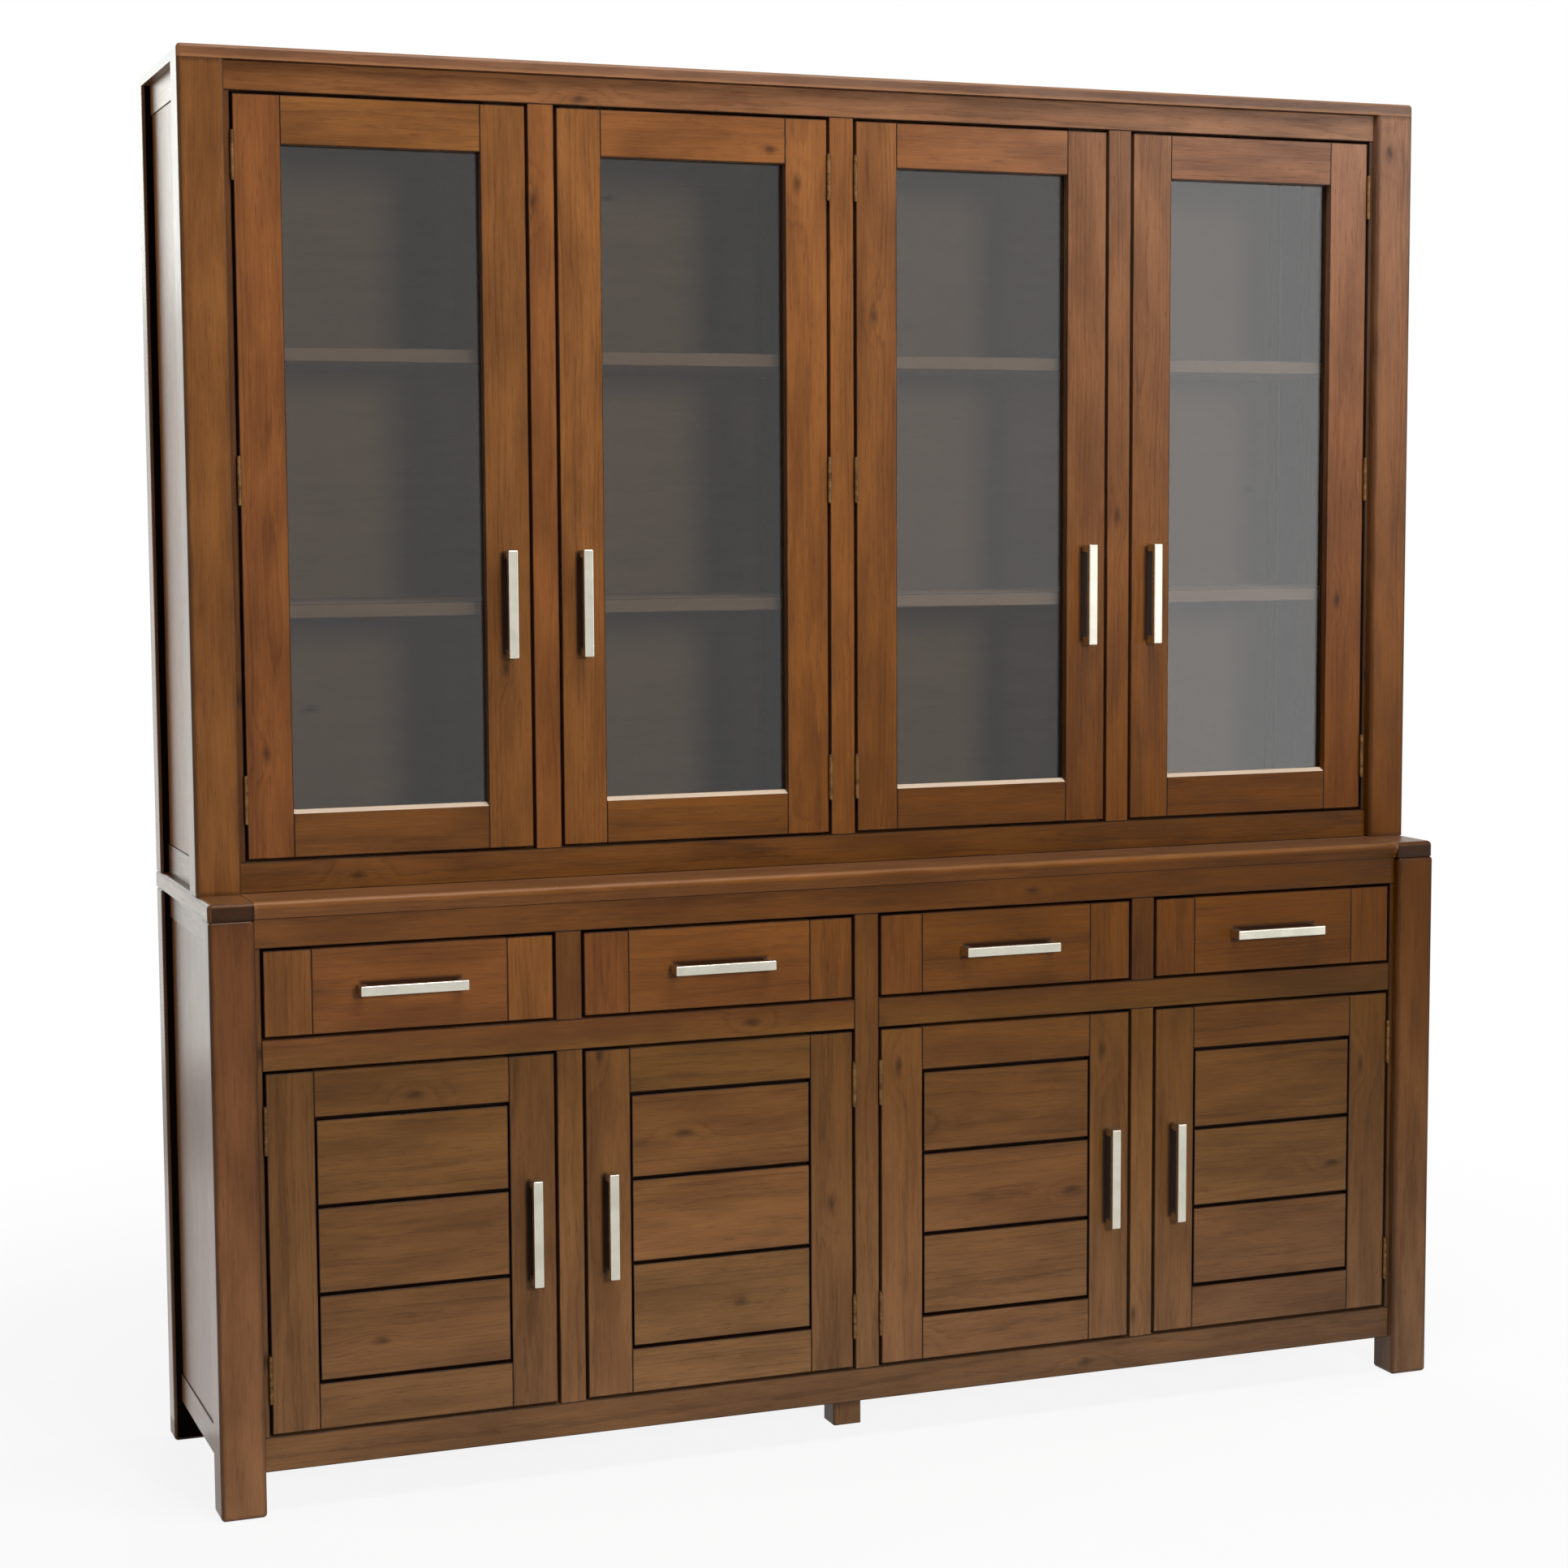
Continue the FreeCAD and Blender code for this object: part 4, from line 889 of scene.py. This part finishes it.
def dress_wood(node, body, slot, ease, edge_width):
    """Replace a CAD node by the same boards, eased and with the numbers that the grain needs."""
    points, faces, painted_shade_index, numbers, marks = gather_boards(node, body, slot, ease, edge_width)
    wood = bpy.data.meshes.new(f"{node}_wood")
    wood.from_pydata(points, [], faces)
    for name, values in numbers.items():
        kind, field = ("FLOAT_VECTOR", "vector") if name in VECTORS else ("FLOAT", "value")
        wood.attributes.new(name, kind, "POINT").data.foreach_set(field, values)
    for name, values in marks.items():
        wood.attributes.new(name, "FLOAT", "FACE").data.foreach_set("value", values)
    wood.polygons.foreach_set("use_smooth", [True] * len(faces))
    wood.set_sharp_from_angle(angle=SHARP_ANGLE)
    wood.materials.append(woods[slot])
    # The second slot holds the painted shade of the rear posts.
    wood.materials.append(rear_post_shade)
    wood.polygons.foreach_set("material_index", painted_shade_index)
    piece = bpy.data.objects.new(f"{node}_wood", wood)
    bpy.context.scene.collection.objects.link(piece)
    piece.modifiers.new("weighted_normals", "WEIGHTED_NORMAL").keep_sharp = True
    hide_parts(node)
    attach(piece, body)


slot_of = {part["node"]: part["material_slot"] for part in frame["record"]["subparts"]}
for node, slot in slot_of.items():
    if slot in woods:
        ease = 0.0 if node in ROUNDED else FINE_EASE
        dress_wood(node, nodes[node]["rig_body"], slot, ease, ROUNDED.get(node, FINE_EDGE))
dressed = [o for o in bpy.data.objects if o.name.endswith("_wood")]
print("wooden pieces:", len(dressed), "with", sum(len(o.data.polygons) for o in dressed), "faces")

# %% [markdown]
# ## Glass
# Clear float glass hides little, and shows a thin veil of the bright room in front of it.
# A slab with an index of refraction does both by itself. A faint unevenness of tint, as of
# a pane that was wiped by hand, keeps it from looking like thin air. Lamps shine straight
# through, so that the shelves behind are lit without specks.

# %% Panes
GLASS_INDEX = 1.42
WIPED_SCALE = (9.0, 9.0, 4.0)
CLEAN, WIPED = (0.97, 0.98, 0.97, 1.0), (0.93, 0.94, 0.93, 1.0)
LIGHT_LET_THROUGH = (0.62, 0.64, 0.62, 1.0)

pane, tree, shader = plain_material("pane_glass")
where = add_node(tree, "ShaderNodeTexCoord").outputs["Object"]
wiped = noise(tree, where, WIPED_SCALE, detail=3.0)["Fac"]
tree.links.new(blend(tree, wiped, CLEAN, WIPED), shader.inputs["Base Color"])
shader.inputs["Roughness"].default_value = 0.0
shader.inputs["Transmission Weight"].default_value = 1.0
shader.inputs["IOR"].default_value = GLASS_INDEX
path = add_node(tree, "ShaderNodeLightPath").outputs
lighting = work_out(tree, "MAXIMUM", path["Is Shadow Ray"], path["Is Diffuse Ray"])
clear = add_node(tree, "ShaderNodeBsdfTransparent", {"Color": LIGHT_LET_THROUGH}).outputs[0]
let_through = add_node(tree, "ShaderNodeMixShader", {0: lighting, 1: shader.outputs[0], 2: clear})
tree.links.new(let_through.outputs[0], tree.nodes["Material Output"].inputs["Surface"])
print("glass: index", GLASS_INDEX)

# %% [markdown]
# ## Metal
# The pulls are satin nickel, brushed along their length, and the hinges are brass that has
# gone brown in patches. Brushing is long thin noise, tarnish is broad soft noise. Each metal
# could have its own nodes, but one group gives both, with its own values in each metal.

# %% Tarnish group
BRUSH, CLOUD_SIZE = (60.0, 60.0, 60.0), 40.0
MOST_CLOUDS = (0.3, 0.7)

tarnish, give, take = start_group(
    "brushed_and_dull",
    [("Brush", "NodeSocketVector", BRUSH), ("Cloud size", "NodeSocketFloat", CLOUD_SIZE)],
    ["Brushing", "Clouds"],
)
where = add_node(tarnish, "ShaderNodeTexCoord").outputs["Object"]
brushing = noise(tarnish, where, give["Brush"], detail=3.0, roughness=0.6)["Fac"]
all_ways = {axis: give["Cloud size"] for axis in "XYZ"}
cloud_scale = add_node(tarnish, "ShaderNodeCombineXYZ", all_ways).outputs[0]
clouds = noise(tarnish, where, cloud_scale, detail=4.0)["Fac"]
tarnish.links.new(rescale(tarnish, brushing, *MOST_NOISE, kind="LINEAR"), take["Brushing"])
tarnish.links.new(rescale(tarnish, clouds, *MOST_CLOUDS), take["Clouds"])
print("tarnish group:", len(tarnish.nodes), "nodes")

# %% Metals
FINE_RELIEF = 0.0002
SATIN, SATIN_DULL = colour(206, 202, 188), colour(194, 190, 175)
BRASS, BRASS_DULL = colour(122, 91, 58), colour(82, 58, 36)
BRUSHED_UPRIGHT, BRUSHED_LEVEL = (900.0, 900.0, 25.0), (25.0, 900.0, 900.0)
SPECKLED = (300.0, 300.0, 300.0)


def metal(name, bright, dull, brush, cloud_size, smooth, rough, relief):
    """A metal whose colour and roughness follow the brushing and the clouds of tarnish."""
    material, tree, shader = plain_material(name)
    values = {"Brush": brush, "Cloud size": cloud_size}
    finish = add_node(tree, "ShaderNodeGroup", values, node_tree=tarnish).outputs
    tree.links.new(blend(tree, finish["Clouds"], bright, dull), shader.inputs["Base Color"])
    roughness = rescale(tree, finish["Brushing"], 0.0, 1.0, smooth, rough, "LINEAR")
    tree.links.new(roughness, shader.inputs["Roughness"])
    raised = {"Height": finish["Brushing"], "Strength": relief, "Distance": FINE_RELIEF}
    bump = add_node(tree, "ShaderNodeBump", raised)
    tree.links.new(bump.outputs["Normal"], shader.inputs["Normal"])
    shader.inputs["Metallic"].default_value = 1.0
    return material


nickel = {"cloud_size": 30.0, "smooth": 0.2, "rough": 0.3, "relief": 0.05}
upright_nickel = metal("nickel_upright", SATIN, SATIN_DULL, BRUSHED_UPRIGHT, **nickel)
level_nickel = metal("nickel_level", SATIN, SATIN_DULL, BRUSHED_LEVEL, **nickel)
old_brass = {"cloud_size": 120.0, "smooth": 0.42, "rough": 0.6, "relief": 0.15}
brass = metal("antique_brass", BRASS, BRASS_DULL, SPECKLED, **old_brass)
print("metals:", upright_nickel.name, level_nickel.name, brass.name)

# %% [markdown]
# ## Catches
# The magnetic catches inside are moulded plastic with a fine spark texture. Modelled dimples
# would be too small to see, so a fine noise changes colour, roughness and height a little.

# %% Catches
SPARK_SCALE, SPARK_RELIEF = (2500.0, 2500.0, 2500.0), 0.2
SPARK_SMOOTH, SPARK_ROUGH = 0.4, 0.6

catch, tree, shader = plain_material("catch_plastic")
where = add_node(tree, "ShaderNodeTexCoord").outputs["Object"]
spark = noise(tree, where, SPARK_SCALE, detail=1.0)["Fac"]
tree.links.new(blend(tree, spark, colour(52, 38, 28), colour(70, 52, 38)), shader.inputs["Base Color"])
roughness = rescale(tree, spark, 0.0, 1.0, SPARK_SMOOTH, SPARK_ROUGH, "LINEAR")
tree.links.new(roughness, shader.inputs["Roughness"])
raised = {"Height": spark, "Strength": SPARK_RELIEF, "Distance": FINE_RELIEF}
bump = add_node(tree, "ShaderNodeBump", raised)
tree.links.new(bump.outputs["Normal"], shader.inputs["Normal"])
print("plastic:", catch.name)

# %% [markdown]
# ## Finishes on the CAD pieces that stay
# Panes, pulls, hinges, pins and catches have their real shapes in the CAD model, so they
# need no new mesh, only a finish. The pulls of the drawers lie level and are brushed that
# way.

# %% Put the finishes on
finish_of = {"pane": pane, "nickel": upright_nickel, "brass": brass, "catch_plastic": catch}
for node, slot in slot_of.items():
    if slot in finish_of:
        chosen = level_nickel if node.startswith("drawer") else finish_of[slot]
        nodes[node].material_slots[0].material = chosen
print("CAD pieces with a new finish:", sum(slot in finish_of for slot in slot_of.values()))

# %% [markdown]
# ## Surroundings
# The picture stands on plain white. Strong lamps on a white sheet would do, but they would
# bleach the wood. So the surroundings are white for the camera, for reflections and for
# what is seen through glass, and give only a little light themselves.


# %% Surroundings
def seen_directly(tree):
    """1 for rays from the camera, from a reflection or through glass, otherwise 0."""
    path = add_node(tree, "ShaderNodeLightPath").outputs
    either = work_out(tree, "MAXIMUM", path["Is Camera Ray"], path["Is Glossy Ray"])
    return work_out(tree, "MAXIMUM", either, path["Is Transmission Ray"])


ROOM_LIGHT = 0.03
WHITE = (1.0, 1.0, 1.0, 1.0)
world = bpy.data.worlds.new("white_room")
world.use_nodes = True
bpy.context.scene.world = world
tree = world.node_tree
room_light = tree.nodes["Background"]
room_light.inputs["Color"].default_value = WHITE
strength = rescale(tree, seen_directly(tree), 0.0, 1.0, ROOM_LIGHT, 1.0, "LINEAR")
tree.links.new(strength, room_light.inputs["Strength"])
bpy.context.scene.view_settings.view_transform = "Standard"
print("room: white, giving", ROOM_LIGHT, "of its light")

# %% [markdown]
# ## Floor
# The floor has to be white as well, and still show the shadow of the piece. A plain grey
# floor that is lit would end in a visible edge. Here its own lit colour shows through near
# the piece, which keeps the shadow, and fades into plain white farther out.

# %% Floor
FLOOR_REACH, FLOOR_GREY = 40.0, (0.6, 0.6, 0.6, 1.0)
SHADOW_FULL, SHADOW_GONE = 1.0, 2.6  # metres from the middle
WHITE_NEAR, WHITE_MIRRORED = 0.88, 0.95
FLOOR_ROUGHNESS = 0.9

near, far = -FLOOR_REACH, FLOOR_REACH
floor_corners = [(near, near, 0), (far, near, 0), (far, far, 0), (near, far, 0)]
floor_mesh = bpy.data.meshes.new("floor")
floor_mesh.from_pydata(floor_corners, [], [(0, 1, 2, 3)])
floor = bpy.data.objects.new("floor", floor_mesh)
bpy.context.scene.collection.objects.link(floor)
floor_material, tree, shader = plain_material("pale_floor")
floor_mesh.materials.append(floor_material)
shader.inputs["Base Color"].default_value = FLOOR_GREY
shader.inputs["Roughness"].default_value = FLOOR_ROUGHNESS
shader.inputs["Specular IOR Level"].default_value = 0.0
away = work_out_vector(tree, "LENGTH", add_node(tree, "ShaderNodeTexCoord").outputs["Object"])
whiteness = rescale(tree, away, SHADOW_FULL, SHADOW_GONE, WHITE_NEAR, 1.0)
whiteness = work_out(tree, "MULTIPLY", whiteness, seen_directly(tree))
mirrored = add_node(tree, "ShaderNodeLightPath").outputs["Is Glossy Ray"]
mirrored = work_out(tree, "MULTIPLY", mirrored, WHITE_MIRRORED)
whiteness = work_out(tree, "MAXIMUM", whiteness, mirrored)
white = add_node(tree, "ShaderNodeEmission", {"Color": WHITE, "Strength": 1.0}).outputs[0]
both = add_node(tree, "ShaderNodeMixShader", {0: whiteness, 1: shader.outputs[0], 2: white})
tree.links.new(both.outputs[0], tree.nodes["Material Output"].inputs["Surface"])
print("floor:", 2 * FLOOR_REACH, "m across")

# %% [markdown]
# ## Lamps and cards
# A studio lights furniture with soft boxes and holds white cards where the polish should
# shine. One box in front and one overhead light the front, and boxes behind and at both
# sides light the rest for anyone who walks round it. The cards light nothing and only show in
# reflections: those at the left give the side its pale sheen, and those at the right and in
# the middle put a thin veil over the panes of the right half. Mirror images of the boxes in
# the wood would be hard spots, so all boxes but the one overhead are kept out of reflections.


# %% Lamps and cards
def soft_lamp(
    name, place, target, size, brightness, lights=True, mirrored=True, tint=(1.0, 1.0, 1.0)
):
    """A soft box of a given surface brightness that lights things, is mirrored in them, or both."""
    data = bpy.data.lights.new(name, "AREA")
    data.shape, data.size, data.size_y = "RECTANGLE", size[0], size[1]
    data.energy = brightness * math.pi * size[0] * size[1]
    data.color = tint
    lamp = bpy.data.objects.new(name, data)
    bpy.context.scene.collection.objects.link(lamp)
    lamp.location = place
    lamp.rotation_euler = (Vector(target) - Vector(place)).to_track_quat("-Z", "Y").to_euler()
    lamp.visible_camera = False
    lamp.visible_diffuse = lights
    lamp.visible_glossy = lamp.visible_transmission = mirrored


COOL_WHITE = (0.97, 1.02, 0.98)
BOX = {"mirrored": False}
CARD = {"lights": False}
COOL_CARD = {"lights": False, "tint": COOL_WHITE}
# Each row: name, place, what it looks at, width and height, brightness.
soft_lamp("key_box", (0.4, -5.2, 2.0), (0.0, -0.1, 1.0), (0.9, 0.9), 69.0, **BOX)
soft_lamp("overhead_box", (0.2, -1.6, 4.4), (0.1, -0.2, 1.0), (2.4, 1.6), 12.0)
soft_lamp("back_box", (0.8, 5.2, 2.2), (0.0, 0.2, 1.0), (1.5, 1.5), 24.0, **BOX)
soft_lamp("left_box", (-5.2, 1.2, 2.0), (-0.9, 0.0, 1.0), (1.5, 1.5), 8.0, **BOX)
soft_lamp("right_box", (5.2, 1.2, 2.0), (0.9, 0.0, 1.0), (1.5, 1.5), 24.0, **BOX)
soft_lamp("side_card", (-1.5, 1.5, 1.47), (-0.95, 0.0, 1.37), (1.0, 2.36), 1.45, **COOL_CARD)
soft_lamp("low_side_card", (-1.25, 1.0, 0.03), (-1.25, 1.0, 1.0), (1.0, 1.8), 0.7, **CARD)
soft_lamp("high_side_card", (-2.0, 4.6, 2.9), (-0.95, 0.0, 1.8), (2.4, 1.8), 2.6, **COOL_CARD)
soft_lamp("right_card", (3.6, -3.6, 1.7), (0.6, 0.0, 1.3), (2.4, 2.6), 1.75, **CARD)
soft_lamp("high_right_card", (2.9, -3.6, 3.05), (0.7, 0.0, 1.9), (1.6, 1.1), 5.0, **CARD)
soft_lamp("middle_card", (1.87, -3.6, 1.8), (0.23, -0.1, 1.55), (0.85, 1.4), 0.5, **CARD)
